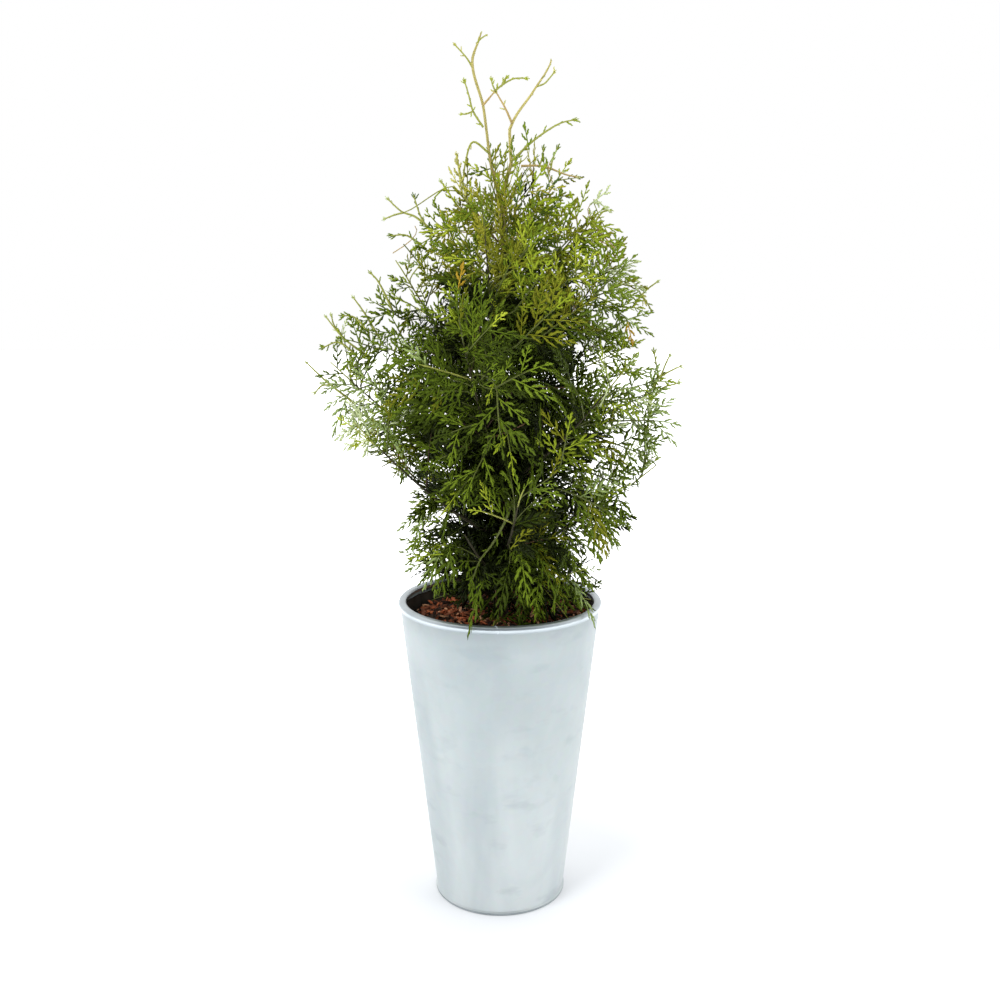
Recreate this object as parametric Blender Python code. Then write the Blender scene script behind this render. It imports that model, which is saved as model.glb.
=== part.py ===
"""Potted thuja: a young conifer on one trunk, growing in a tall tapered zinc planter.

Metres, +Z up. The origin is the middle of the planter's flat underside, -Y is the face side and
+X is to the right of somebody who looks at that side. Trunk, leaders and boughs are tapering
tubes. Each mass of foliage is one stem with side twigs and flat toothed sprays, fused together,
and it keeps to its own cell of the crown.
"""

import math
import random

import bmesh
import bpy
import numpy as np
from mathutils import Vector
from mathutils.bvhtree import BVHTree

# Planter: a tapered shell of zinc sheet with a rolled rim and a crimped foot hoop
POT_HEIGHT = 0.500
RIM_RADIUS = 0.1640  # outside of the rolled rim
RIM_TUBE = 0.0065  # radius of the roll
RIM_ROLL = (-60.0, 205.0)  # from where the sheet leaves the wall to its inner edge, in degrees
RIM_STEPS = 6
SHEET = 0.0012
FOOT_RADIUS = 0.1080
FOOT_HEIGHT = 0.0045
FOOT_STEP = 0.0018  # how far the hoop stands out of the wall
SHELL_SEGMENTS = 44

# Inner pot, root ball and bark mulch
GAP = 0.0003  # clearance between touching pieces
LINER_CLEARANCE = 0.0012
LINER_WALL = 0.0020
LINER_TOP = 0.4840
FILL_CLEARANCE = 0.0005
MULCH_DEPTH = 0.0140
SOIL_LEVEL = 0.4700  # where the trunk leaves the ground
MULCH_RINGS = (0.030, 0.060, 0.090, 0.122)
MULCH_RELIEF = 0.0035
FILL_SEGMENTS = 24

# Trunk and second leader: height, x, y of the centre line
TRUNK_LINE = (
    (SOIL_LEVEL, 0.000, 0.000),
    (0.640, 0.005, 0.006),
    (0.800, -0.003, 0.004),
    (0.950, 0.004, -0.003),
    (1.103, 0.003, 0.000),
    (1.177, -0.014, 0.002),
    (1.259, -0.025, 0.000),
    (1.320, -0.041, -0.003),
    (1.362, -0.028, -0.002),
)
TRUNK_RADIUS = 0.0095
TRUNK_TIP = 0.0010
TRUNK_TAPER = 1.25
TRUNK_FLARE = 0.0055
TRUNK_FLARE_HEIGHT = 0.016
TRUNK_SIDES = 10
TRUNK_RINGS = 15
LEADER_ROOT = 1.120
LEADER_LINE = (
    (1.177, 0.017, -0.002),
    (1.208, 0.015, -0.004),
    (1.233, 0.018, -0.004),
    (1.283, 0.052, -0.006),
    (1.323, 0.076, -0.004),
)
LEADER_RADII = (0.0024, 0.0008)
LEADER_SIDES = 6
LEADER_RINGS = 8

# Crown: how far it reaches from the trunk at each height, on its four sides
CROWN_HEIGHTS = (0.45, 0.52, 0.60, 0.66, 0.71, 0.77, 0.87, 0.96, 1.04, 1.12, 1.19, 1.25, 1.37)
CROWN_RIGHT = (0.178, 0.180, 0.215, 0.236, 0.250, 0.298, 0.286, 0.245, 0.215, 0.178, 0.130, 0.112, 0.08)
CROWN_LEFT = (0.150, 0.160, 0.168, 0.180, 0.210, 0.282, 0.306, 0.280, 0.195, 0.180, 0.110, 0.066, 0.07)
CROWN_FACE = (0.174, 0.178, 0.190, 0.205, 0.215, 0.262, 0.275, 0.245, 0.205, 0.160, 0.110, 0.070, 0.04)
CROWN_REAR = (0.160, 0.172, 0.192, 0.210, 0.222, 0.270, 0.280, 0.240, 0.195, 0.150, 0.105, 0.070, 0.04)

# Tiers of boughs: name, count, azimuth of the first, height of the root, height of the tip
TIERS = (
    ("skirt", 4, 264.0, 0.492, 0.515),
    ("low", 5, 180.0, 0.522, 0.655),
    ("middle", 5, 354.0, 0.590, 0.800),
    ("upper", 5, 178.0, 0.710, 0.950),
    ("high", 4, 352.0, 0.850, 1.125),
)
STAGGER = (-0.042, 0.042)  # alternate boughs of a tier end lower and higher
SKIRT_STAGGER = 0.2  # of that, in the lowest tier
ROOT_STAGGER = 0.4  # of that, where they leave the trunk
SWAY = 5.0  # seeded change of azimuth, in degrees
LIFT = 0.012  # seeded change of the tip's height
BOUGH_SHARE = 0.24  # part of a limb's way that is bare bough
RISE_POWER = 1.35  # above 1 a limb sets off flat and turns upwards
BOUGH_RADII = (0.0040, 0.0024)
BOUGH_SIDES = 5
BOUGH_RINGS = 4
FOOT_SAMPLES = 21  # points across a limb's foot at which its clearance is measured

# Small masses that spring straight from the trunk or the second leader:
# name, limb, height of the root, azimuth, reach and rise of the tip
TOP_MASSES = (
    ("top_right", "trunk", 1.060, 12.0, 0.112, 0.140),
    ("top_left", "trunk", 1.075, 165.0, 0.100, 0.105),
    ("top_face", "trunk", 1.050, 262.0, 0.095, 0.130),
    ("top_rear", "trunk", 1.085, 84.0, 0.085, 0.110),
    ("tip_left", "trunk", 1.225, 184.0, 0.042, 0.075),
    ("tip_middle", "trunk", 1.262, 350.0, 0.070, 0.035),
    ("tip_right", "second_leader", 1.200, 358.0, 0.095, 0.045),
)

# Stems, twigs and sprays inside a mass
SHORTEST_STEM = 0.16  # of the whole way
STEM_RADII = (0.0027, 0.0018)
STEM_RINGS = 4
SLIM_STEM = 0.6  # of those radii, on a mass that springs straight from trunk or leader
TWIG_RADII = (0.0019, 0.0015)
TWIG_LENGTH = 0.036
TWIG_ANGLE = 52.0
SPRAY_ANGLE = 46.0
SPRAY_TEETH = 5
SPRAY_PITCH = 0.0205
SPRAY_STALK = 0.016
SPRAY_TOOTH = 0.043
SPRAY_LENGTH = SPRAY_STALK + SPRAY_PITCH * (SPRAY_TEETH + 1)
SPRAY_BEND = (-0.10, 0.16)
SPRAY_TILT = 0.6  # seeded turn of a spray about its own rachis, in radians
LEAN_BRANCHINGS = ((0.10, 10.0, "twig"), (0.45, 195.0, "spray"), (0.78, 80.0, "spray"))
FULL_BRANCHINGS = ((0.05, 12.0, "twig"), (0.40, 192.0, "twig"), (0.80, 80.0, "spray"))
RICH_BRANCHINGS = FULL_BRANCHINGS + ((0.62, 300.0, "spray"),)
BRANCHINGS = {
    "skirt": LEAN_BRANCHINGS,
    "low": FULL_BRANCHINGS,
    "middle": RICH_BRANCHINGS,
    "upper": RICH_BRANCHINGS,
    "high": FULL_BRANCHINGS,
    "top": LEAN_BRANCHINGS,
}
TWIG_SPRAY = 0.55  # where a twig carries its side spray
BARE_TWIGS = 6
BARE_SPAN = (0.22, 0.86)  # where the first and the last leave a leader's shoot
BARE_LENGTH = 0.034
BARE_SHRINK = 0.6  # length of the twig that each of them carries
BARE_RADII = (0.0010, 0.0005)
ROLL_SWAY = 22.0
TOOTH_ANGLE = 46.0
TOOTH_STARTS = (0.62, 0.30)  # where a tooth springs between two rings, on each side
RACHIS_HALF = (0.0016, 0.0011)  # half width and half thickness
ROOT_HALF = (0.0009, 0.0008)  # the same where the spray is sunk in its twig
RACHIS_SLIM = 0.55  # part of its width that it loses by its tip
SINK = 0.004  # how deep a root sits in what carries it
CELL_MARGIN = 0.0006
OUTLINE_SLACK = 0.010
LIMB_CLEARANCE = 0.0010
RIM_GUARD = 0.100  # how far below the rim the planter's wall keeps sprays off
SIZES = (1.12, 1.0, 0.88, 0.76, 0.64, 0.52)
LAST_SIZES = (1.0, 0.92, 0.84, 0.76, 0.66, 0.56)  # of what reaches the crown's outline
TURNS = (0.0, 25.0, -25.0, 50.0, -50.0, 80.0, -80.0, 120.0)
SEED = 41

# Colours of the foliage, tier by tier
FOLIAGE_TONES = {
    "skirt": (62, 84, 40),
    "low": (66, 88, 44),
    "middle": (84, 108, 50),
    "upper": (96, 122, 54),
    "high": (112, 134, 60),
    "top": (128, 146, 68),
    "tip": (160, 156, 84),
}


def clear_scene():
    for thing in list(bpy.data.objects):
        bpy.data.objects.remove(thing, do_unlink=True)


def linear(red, green, blue):
    """A display colour of 0 to 255 as the linear colour that a shader takes."""
    values = [channel / 255 for channel in (red, green, blue)]
    return [v / 12.92 if v <= 0.04045 else ((v + 0.055) / 1.055) ** 2.4 for v in values] + [1.0]


def material(name, colour, roughness, metallic=0.0):
    made = bpy.data.materials.new(name)
    made.use_nodes = True
    shader = made.node_tree.nodes["Principled BSDF"]
    shader.inputs["Base Color"].default_value = linear(*colour)
    shader.inputs["Roughness"].default_value = roughness
    shader.inputs["Metallic"].default_value = metallic
    made.diffuse_color = linear(*colour)
    return made


def make_object(name, mesh, finish):
    mesh.materials.clear()
    mesh.materials.append(finish)
    thing = bpy.data.objects.new(name, mesh)
    bpy.context.scene.collection.objects.link(thing)
    return thing


def closed_mesh(name, points, faces):
    """A mesh with its faces turned outwards."""
    mesh = bpy.data.meshes.new(name)
    mesh.from_pydata([tuple(point) for point in points], [], faces)
    shape = bmesh.new()
    shape.from_mesh(mesh)
    bmesh.ops.recalc_face_normals(shape, faces=shape.faces)
    shape.to_mesh(mesh)
    shape.free()
    return mesh


# ---------------------------------------------------------------- planter


def wall_radius(height):
    """Outside of the shell's straight wall."""
    start = math.radians(RIM_ROLL[0])
    top_radius = RIM_RADIUS - RIM_TUBE + RIM_TUBE * math.cos(start)
    top_height = POT_HEIGHT - RIM_TUBE + RIM_TUBE * math.sin(start)
    foot_top = FOOT_HEIGHT + FOOT_STEP
    share = (height - foot_top) / (top_height - foot_top)
    return FOOT_RADIUS - FOOT_STEP + share * (top_radius - FOOT_RADIUS + FOOT_STEP)


def arc(radius, height, size, start, end, steps):
    angles = [math.radians(start + (end - start) * i / steps) for i in range(steps + 1)]
    return [(radius + size * math.cos(a), height + size * math.sin(a)) for a in angles]


def turned(name, outline, segments, finish, touches_axis=False):
    """A solid turned about Z from an outline of (radius, height) points."""
    shape = bmesh.new()
    points = [shape.verts.new((radius, 0.0, height)) for radius, height in outline]
    pairs = list(zip(points, points[1:]))
    if not touches_axis:
        pairs.append((points[-1], points[0]))
    lines = [shape.edges.new(pair) for pair in pairs]
    bmesh.ops.spin(
        shape,
        geom=points + lines,
        cent=(0, 0, 0),
        axis=(0, 0, 1),
        dvec=(0, 0, 0),
        angle=2 * math.pi,
        steps=segments,
        use_merge=True,
        use_duplicate=False,
    )
    bmesh.ops.remove_doubles(shape, verts=shape.verts, dist=0.00001)
    bmesh.ops.recalc_face_normals(shape, faces=shape.faces)
    mesh = bpy.data.meshes.new(name)
    shape.to_mesh(mesh)
    shape.free()
    mesh.shade_smooth()
    mesh.set_sharp_from_angle(angle=math.radians(40))
    return make_object(name, mesh, finish)


def make_shell(finish):
    roll_radius = RIM_RADIUS - RIM_TUBE
    roll_height = POT_HEIGHT - RIM_TUBE
    start, end = RIM_ROLL
    foot_wall = FOOT_RADIUS - FOOT_STEP
    outline = [(foot_wall - SHEET, 0.0), (FOOT_RADIUS, 0.0), (FOOT_RADIUS, FOOT_HEIGHT)]
    outline += [(foot_wall, FOOT_HEIGHT + FOOT_STEP)]
    outline += arc(roll_radius, roll_height, RIM_TUBE, start, end, RIM_STEPS)
    outline += arc(roll_radius, roll_height, RIM_TUBE - SHEET, end, start, RIM_STEPS - 2)
    below_roll = outline[4][1] - 2 * SHEET
    outline += [(wall_radius(below_roll) - SHEET, below_roll)]
    return turned("pot_shell", outline, SHELL_SEGMENTS, finish)


def disc_outline(foot_radius, foot, top_radius, top):
    return [(0.0, foot), (foot_radius, foot), (top_radius, top), (0.0, top)]


def make_floor(finish):
    radius = FOOT_RADIUS - FOOT_STEP - SHEET - GAP
    outline = disc_outline(radius, 0.0, radius, SHEET)
    return turned("pot_floor", outline, SHELL_SEGMENTS, finish, touches_axis=True)


def liner_radius(height):
    """Outside of the inner pot."""
    return wall_radius(height) - SHEET - LINER_CLEARANCE


def fill_radius(height):
    """Outside of what fills the inner pot."""
    return liner_radius(height) - LINER_WALL - FILL_CLEARANCE


def make_liner(finish):
    foot = SHEET + GAP
    inner_foot = foot + LINER_WALL
    outline = [(0.0, foot), (liner_radius(foot), foot), (liner_radius(LINER_TOP), LINER_TOP)]
    outline += [(liner_radius(LINER_TOP) - LINER_WALL, LINER_TOP)]
    outline += [(liner_radius(inner_foot) - LINER_WALL, inner_foot), (0.0, inner_foot)]
    return turned("inner_pot", outline, FILL_SEGMENTS, finish, touches_axis=True)


def make_root_ball(finish):
    foot = SHEET + GAP + LINER_WALL + GAP
    top = SOIL_LEVEL - MULCH_DEPTH
    outline = disc_outline(fill_radius(foot), foot, fill_radius(top), top)
    return turned("root_ball", outline, FILL_SEGMENTS, finish, touches_axis=True)


def make_mulch(finish):
    """A layer of bark chips: level under the trunk, uneven further out."""
    chance = random.Random(SEED)
    foot = SOIL_LEVEL - MULCH_DEPTH + GAP
    level = SOIL_LEVEL - GAP
    edge = fill_radius(SOIL_LEVEL) - 2 * GAP
    outline = [(0.0, foot), (fill_radius(foot), foot), (edge, level - MULCH_RELIEF)]
    outline += [(radius, level) for radius in reversed(MULCH_RINGS)] + [(0.0, level)]
    layer = turned("bark_mulch", outline, FILL_SEGMENTS, finish, touches_axis=True)
    for point in layer.data.vertices:
        if point.co.z > level - GAP and math.hypot(point.co.x, point.co.y) > MULCH_RINGS[0] + GAP:
            point.co.z += chance.uniform(-MULCH_RELIEF, MULCH_RELIEF)
    return layer


# ---------------------------------------------------------------- trunk, leader and boughs


def smooth_line(line, height):
    """A point on the smooth curve through a centre line of (height, x, y) points."""
    heights = [knot[0] for knot in line]
    last = len(line) - 2
    i = min(max(int(np.searchsorted(heights, height)) - 1, 0), last)
    knots = [np.array(line[min(max(k, 0), last + 1)][1:]) for k in range(i - 1, i + 3)]
    u = (height - heights[i]) / (heights[i + 1] - heights[i])
    a, b, c, d = knots
    x, y = 0.5 * (
        2 * b + (c - a) * u + (2 * a - 5 * b + 4 * c - d) * u**2 + (3 * b - a - 3 * c + d) * u**3
    )
    return Vector((x, y, height))


def trunk_radius(height):
    share = (height - SOIL_LEVEL) / (TRUNK_LINE[-1][0] - SOIL_LEVEL)
    taper = TRUNK_TIP + (TRUNK_RADIUS - TRUNK_TIP) * max(1 - share, 0.0) ** TRUNK_TAPER
    return taper + TRUNK_FLARE * math.exp(-(height - SOIL_LEVEL) / TRUNK_FLARE_HEIGHT)


def side_vectors(along):
    """Two directions square to a limb, the first of them level."""
    level = Vector((0, 0, 1)).cross(along)
    if level.length < 0.05:
        level = Vector((1, 0, 0))
    level.normalize()
    return level, along.cross(level).normalized()


def tube_shape(centres, radii, sides, first_normal=None, widen=0.0):
    """Points and faces of a closed tapering tube.

    The first ring lies square to first_normal, so that a limb can meet an upright trunk flat.
    The rings are carried along without a twist.
    """
    points, faces = [], []
    count = len(centres)
    level = side_vectors(first_normal or (centres[1] - centres[0]).normalized())[0]
    for i, centre in enumerate(centres):
        along = (centres[min(i + 1, count - 1)] - centres[max(i - 1, 0)]).normalized()
        if i == 0 and first_normal is not None:
            along = first_normal
        level = (level - along * level.dot(along)).normalized()
        up = along.cross(level)
        for k in range(sides):
            angle = 2 * math.pi * (k + 0.5) / sides
            offset = level * math.cos(angle) + up * math.sin(angle)
            points.append(centre + offset * (radii[i] + widen))
    for i in range(count - 1):
        for k in range(sides):
            a, b = i * sides + k, i * sides + (k + 1) % sides
            faces.append((a, b, b + sides, a + sides))
    faces.append(tuple(range(sides)))
    faces.append(tuple(range((count - 1) * sides, count * sides)))
    return points, faces


def spread(first, last, count):
    return [first + (last - first) * i / (count - 1) for i in range(count)]


class Limb:
    """A tapering tube: its centres, radii, sides and the direction its first ring faces."""

    def __init__(self, name, centres, radii, sides, first_normal=None):
        self.name = name
        self.centres = centres
        self.radii = radii
        self.sides = sides
        self.first_normal = first_normal

    def shape(self, widen=0.0):
        return tube_shape(self.centres, self.radii, self.sides, self.first_normal, widen)

    def middle_at(self, height):
        """The point of the centre line at this height, on a limb that runs upwards."""
        heights = [centre.z for centre in self.centres]
        return Vector([np.interp(height, heights, [centre[k] for centre in self.centres]) for k in range(3)])

    def build(self, finish):
        mesh = closed_mesh(self.name, *self.shape())
        mesh.shade_smooth()
        mesh.set_sharp_from_angle(angle=math.radians(50))
        return make_object(self.name, mesh, finish)


def trunk_limb():
    heights = [SOIL_LEVEL, SOIL_LEVEL + 0.6 * TRUNK_FLARE_HEIGHT, SOIL_LEVEL + 2 * TRUNK_FLARE_HEIGHT]
    heights += spread(SOIL_LEVEL + 5 * TRUNK_FLARE_HEIGHT, TRUNK_LINE[-1][0], TRUNK_RINGS)
    centres = [smooth_line(TRUNK_LINE, height) for height in heights]
    radii = [trunk_radius(height) for height in heights]
    return Limb("trunk", centres, radii, TRUNK_SIDES, Vector((0, 0, 1)))


def foot_on(carrier, height, azimuth, radius):
    """Where a limb of this radius starts, 0.3 mm clear of the upright limb that carries it."""
    tree = BVHTree.FromPolygons(*carrier.shape())
    outward = Vector((math.cos(azimuth), math.sin(azimuth), 0))
    level, up = side_vectors(outward)
    middle = carrier.middle_at(height)
    clear = 0.0
    for across in spread(-radius, radius, FOOT_SAMPLES):
        for above in spread(-radius, radius, FOOT_SAMPLES):
            start = middle + level * across + up * above + outward * 10 * TRUNK_RADIUS
            hit = tree.ray_cast(start, -outward)[0]
            if hit is not None:
                clear = max(clear, (hit - middle).dot(outward))
    return middle + outward * (clear + GAP), outward


def leader_limb(trunk):
    run = smooth_line(LEADER_LINE, LEADER_LINE[0][0]) - trunk.middle_at(LEADER_ROOT)
    foot, outward = foot_on(trunk, LEADER_ROOT, math.atan2(run.y, run.x), LEADER_RADII[0])
    heights = spread(LEADER_LINE[0][0], LEADER_LINE[-1][0], LEADER_RINGS)
    centres = [foot] + [smooth_line(LEADER_LINE, height) for height in heights]
    radii = spread(*LEADER_RADII, len(centres))
    return Limb("second_leader", centres, radii, LEADER_SIDES, outward)


def crown_reach(azimuth, height):
    """How far the crown stands from the axis in this direction at this height."""
    across = CROWN_RIGHT if math.cos(azimuth) > 0 else CROWN_LEFT
    deep = CROWN_REAR if math.sin(azimuth) > 0 else CROWN_FACE
    across = np.interp(height, CROWN_HEIGHTS, across)
    deep = np.interp(height, CROWN_HEIGHTS, deep)
    return math.hypot(across * math.cos(azimuth), deep * math.sin(azimuth))


class Way:
    """The curve that a bough and its mass follow, from the trunk (0) to the crown's outline (1)."""

    def __init__(self, name, foot, outward, tip, first_share):
        self.name = name
        self.foot = foot
        self.outward = outward
        self.tip = tip
        self.first_share = first_share  # where the mass takes over from the bough
        self.bare = name.startswith("tip")
        self.stem_end = 1.0 if self.bare else first_share + SHORTEST_STEM
        while (tip - self.at(self.stem_end)).length > SPRAY_LENGTH:
            self.stem_end += 0.01

    def at(self, share):
        run = self.tip - self.foot
        flat = Vector((run.x, run.y, 0)) * share
        return self.foot + flat + Vector((0, 0, run.z * share**RISE_POWER))

    def along(self, share):
        return (self.at(share + 0.01) - self.at(share - 0.01)).normalized()


def bough_ways(trunk):
    """One way for each bough, tier by tier."""
    chance = random.Random(SEED + 1)
    ways = []
    for tier, count, first, root, tip in TIERS:
        for k in range(count):
            azimuth = math.radians(first + 360 * k / count + chance.uniform(-SWAY, SWAY))
            stagger = STAGGER[k % 2] * (SKIRT_STAGGER if tier == "skirt" else 1.0)
            root_height = root + ROOT_STAGGER * stagger
            tip_height = tip + stagger + chance.uniform(-LIFT, LIFT)
            foot, outward = foot_on(trunk, root_height, azimuth, BOUGH_RADII[0])
            reach = crown_reach(azimuth, tip_height)
            end = Vector((reach * math.cos(azimuth), reach * math.sin(azimuth), tip_height))
            ways.append(Way(f"{tier}_{k + 1}", foot, outward, end, BOUGH_SHARE))
    return ways


def bough_limb(way):
    shares = spread(0.0, way.first_share, BOUGH_RINGS)
    centres = [way.at(share) for share in shares]
    radii = spread(*BOUGH_RADII, BOUGH_RINGS)
    return Limb("bough_" + way.name, centres, radii, BOUGH_SIDES, way.outward)


def stem_limb(way):
    """The stem of a mass: on from its bough's tip, or straight from the trunk or leader."""
    centres = [way.at(share) for share in spread(way.first_share, way.stem_end, STEM_RINGS)]
    radii = spread(*STEM_RADII, STEM_RINGS)
    if way.first_share == 0:
        radii = [radius * SLIM_STEM for radius in radii]
        return Limb("stem_" + way.name, centres, radii, 3, way.outward)
    along = way.along(way.first_share)
    centres[0] = centres[0] + along * GAP
    return Limb("stem_" + way.name, centres, radii, 3, along)


def top_ways(carriers):
    """Ways of the masses that spring straight from the trunk or the second leader."""
    ways = []
    for name, carrier, root, azimuth, reach, rise in TOP_MASSES:
        foot, outward = foot_on(carriers[carrier], root, math.radians(azimuth), STEM_RADII[0])
        end = foot + outward * reach + Vector((0, 0, rise))
        ways.append(Way(name, foot, outward, end, 0.0))
    return ways


# ---------------------------------------------------------------- foliage


def envelope(share):
    """Length of a spray's teeth along it: long below the middle, short towards the tip."""
    return (0.55 + 0.45 * math.sin(math.pi * min(share * 1.25, 1.0) ** 0.8)) * (1 - 0.55 * share**2)


def spray_shape(root, along, face, size, teeth, bend):
    """Points and faces of a flat spray: a rachis of diamond section with teeth on both sides.

    The rachis starts sunk in its twig, runs bare for a stalk's length and bends by bend.
    """
    side = face.cross(along).normalized()
    face = along.cross(side).normalized()
    pitch = SPRAY_PITCH * size
    stalk = SPRAY_STALK * size
    length = stalk + pitch * teeth
    lean = math.radians(TOOTH_ANGLE)
    points, faces = [], []

    def centre(run):
        return root + along * run + face * (bend * run * run / length)

    def ring(run, half_width, half_thickness):
        middle = centre(run)
        first = len(points)
        points.extend([middle + side * half_width, middle + face * half_thickness])
        points.extend([middle - side * half_width, middle - face * half_thickness])
        return first

    rings = [ring(0.0, *ROOT_HALF)]
    for i in range(teeth + 1):
        slim = 1 - RACHIS_SLIM * i / teeth
        rings.append(ring(stalk + pitch * i, RACHIS_HALF[0] * slim, RACHIS_HALF[1] * slim))
    faces.append(tuple(range(rings[0], rings[0] + 4)))
    for k in range(4):
        a, b = rings[0] + k, rings[0] + (k + 1) % 4
        faces.append((a, b, b + 4))
        faces.append((a, b + 4, a + 4))
    for i in range(teeth):
        near, far = rings[i + 1], rings[i + 2]
        reach = SPRAY_TOOTH * size * envelope((i + 0.5) / teeth)
        for sign, edge, shift in zip((1, -1), (0, 2), TOOTH_STARTS):
            run = stalk + pitch * (i + shift) + reach * math.cos(lean)
            tip = len(points)
            points.append(centre(run) + side * (sign * reach * math.sin(lean)))
            for ridge in (1, 3):
                faces.append((near + ridge, near + edge, tip))
                faces.append((near + ridge, tip, far + ridge))
                faces.append((far + ridge, tip, far + edge))
    tip = len(points)
    points.append(centre(length + pitch))
    last = rings[-1]
    for k in range(4):
        faces.append((last + k, last + (k + 1) % 4, tip))
    return points, faces


def line_distances(points, line):
    """The distance from each point to a polyline."""
    nearest = np.full(len(points), np.inf)
    for start, end in zip(line, line[1:]):
        run = end - start
        share = np.clip((points - start) @ run / (run @ run), 0.0, 1.0)
        nearest = np.minimum(nearest, np.linalg.norm(points - start - share[:, None] * run, axis=1))
    return nearest


class Space:
    """The cell of one mass: nearer to its own way than to any other's, inside the crown's
    outline and clear of limbs, planter and neighbours."""

    def __init__(self, own, others, obstacles, neighbours):
        self.own = own
        self.others = others
        self.obstacles = obstacles
        self.neighbours = neighbours  # trees of the parts that other masses have grown
        self.kept = []  # name and tree of each part of this mass

    def holds(self, points):
        for point in points:
            reach = crown_reach(math.atan2(point.y, point.x), point.z) + OUTLINE_SLACK
            if math.hypot(point.x, point.y) > reach:
                return False
        points = np.array([tuple(point) for point in points])
        own = line_distances(points, self.own) + CELL_MARGIN
        return all((own < line_distances(points, other)).all() for other in self.others)

    def free(self, points, faces, parent):
        tree = BVHTree.FromPolygons(points, faces)
        if any(tree.overlap(other) for other in (self.obstacles, *self.neighbours)):
            return None
        if any(name != parent and tree.overlap(other) for name, other in self.kept):
            return None
        return tree


def turned_about(vector, axis, angle):
    """A vector turned about an axis by an angle in radians."""
    side = axis.cross(vector)
    rest = axis * axis.dot(vector) * (1 - math.cos(angle))
    return vector * math.cos(angle) + side * math.sin(angle) + rest


def branch_direction(along, roll, angle):
    """A direction that leaves along by angle, on the side that roll picks."""
    level, up = side_vectors(along)
    side = level * math.cos(roll) + up * math.sin(roll)
    return (along * math.cos(angle) + side * math.sin(angle)).normalized()


class Mass:
    """One mass of foliage as it grows: its parts, its cell and its seeded choices."""

    def __init__(self, way, space, chance):
        self.way = way
        self.space = space
        self.chance = chance
        self.parts = []

    def face_of(self, direction, level):
        """The way a spray's flat side looks: level for one that points outwards, else outwards."""
        outward = self.way.outward
        hint = Vector((-outward.y, outward.x, 0)) if level else outward + Vector((0, 0, 0.3))
        side = hint.cross(direction).normalized()
        tilt = self.chance.uniform(-SPRAY_TILT, SPRAY_TILT)
        return turned_about(direction.cross(side), direction, tilt)

    def add(self, name, shape, parent):
        """Keeps a part that stays in the cell and touches nothing but its parent."""
        if not self.space.holds(shape[0]):
            return False
        tree = self.space.free(*shape, parent)
        if not tree:
            return False
        self.space.kept.append((name, tree))
        self.parts.append(shape)
        return True

    def add_spray(self, parent, root, along, roll):
        """One side spray, at the first size and turn that the space allows, or none."""
        bend = self.chance.uniform(*SPRAY_BEND)
        for size in SIZES:
            for turn in TURNS:
                direction = branch_direction(along, roll + math.radians(turn), math.radians(SPRAY_ANGLE))
                face = self.face_of(direction, False)
                shape = spray_shape(root, direction, face, size, SPRAY_TEETH, bend)
                if self.add(f"spray_{len(self.parts)}", shape, parent):
                    return

    def add_last_spray(self, parent, root, direction, longest):
        """The spray that ends a stem or twig and carries on its line."""
        for size in LAST_SIZES:
            for _ in TURNS:
                face = self.face_of(direction, True)
                shape = spray_shape(root, direction, face, size * longest, SPRAY_TEETH, 0.0)
                if self.add(f"spray_{len(self.parts)}", shape, parent):
                    return

    def add_twig(self, point, along, roll):
        """One side twig with a spray at its end and one half way along it."""
        for turn in TURNS:
            direction = branch_direction(along, roll + math.radians(turn), math.radians(TWIG_ANGLE))
            end = point + direction * TWIG_LENGTH
            name = f"twig_{len(self.parts)}"
            if self.add(name, tube_shape([point, end], TWIG_RADII, 3), "stem"):
                self.add_last_spray(name, end - direction * SINK, direction, 1.0)
                self.add_spray(name, point + direction * TWIG_LENGTH * TWIG_SPRAY, direction, roll)
                return

    def grow(self):
        """A stem, side twigs that branch from it and sprays on all of them."""
        way = self.way
        stem = stem_limb(way).shape()
        self.space.kept.append(("stem", BVHTree.FromPolygons(*stem)))
        self.parts.append(stem)
        if way.bare:
            self.grow_bare_twigs()
            return self.parts
        root = way.at(way.stem_end) - way.along(way.stem_end) * SINK
        run = way.tip - root
        self.add_last_spray("stem", root, run.normalized(), min(run.length / SPRAY_LENGTH, SIZES[0]))
        tier = way.name.split("_")[0]
        for share, roll, kind in BRANCHINGS[tier]:
            roll = math.radians(roll + self.chance.uniform(-ROLL_SWAY, ROLL_SWAY))
            place = way.first_share + share * (way.stem_end - way.first_share)
            if kind == "twig":
                self.add_twig(way.at(place), way.along(place), roll)
            else:
                self.add_spray("stem", way.at(place), way.along(place), roll)
        return self.parts

    def grow_bare_twigs(self):
        """Thin side twigs on alternate sides, each with one of its own, as at a leader's tip."""
        for i, share in enumerate(spread(*BARE_SPAN, BARE_TWIGS)):
            roll = math.pi * (i % 2) + math.radians(self.chance.uniform(-ROLL_SWAY, ROLL_SWAY))
            point, parent, along = self.way.at(share), "stem", self.way.along(share)
            length = BARE_LENGTH * (1.15 - share) * self.chance.uniform(0.8, 1.1)
            for order in range(2):
                angle = math.radians(TWIG_ANGLE)
                direction = branch_direction(along, roll + math.pi * order, angle)
                name = f"twig_{len(self.parts)}"
                end = point + direction * length
                if not self.add(name, tube_shape([point, end], BARE_RADII, 3), parent):
                    break
                point, parent, along = point + direction * length * 0.5, name, direction
                length = length * BARE_SHRINK


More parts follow.
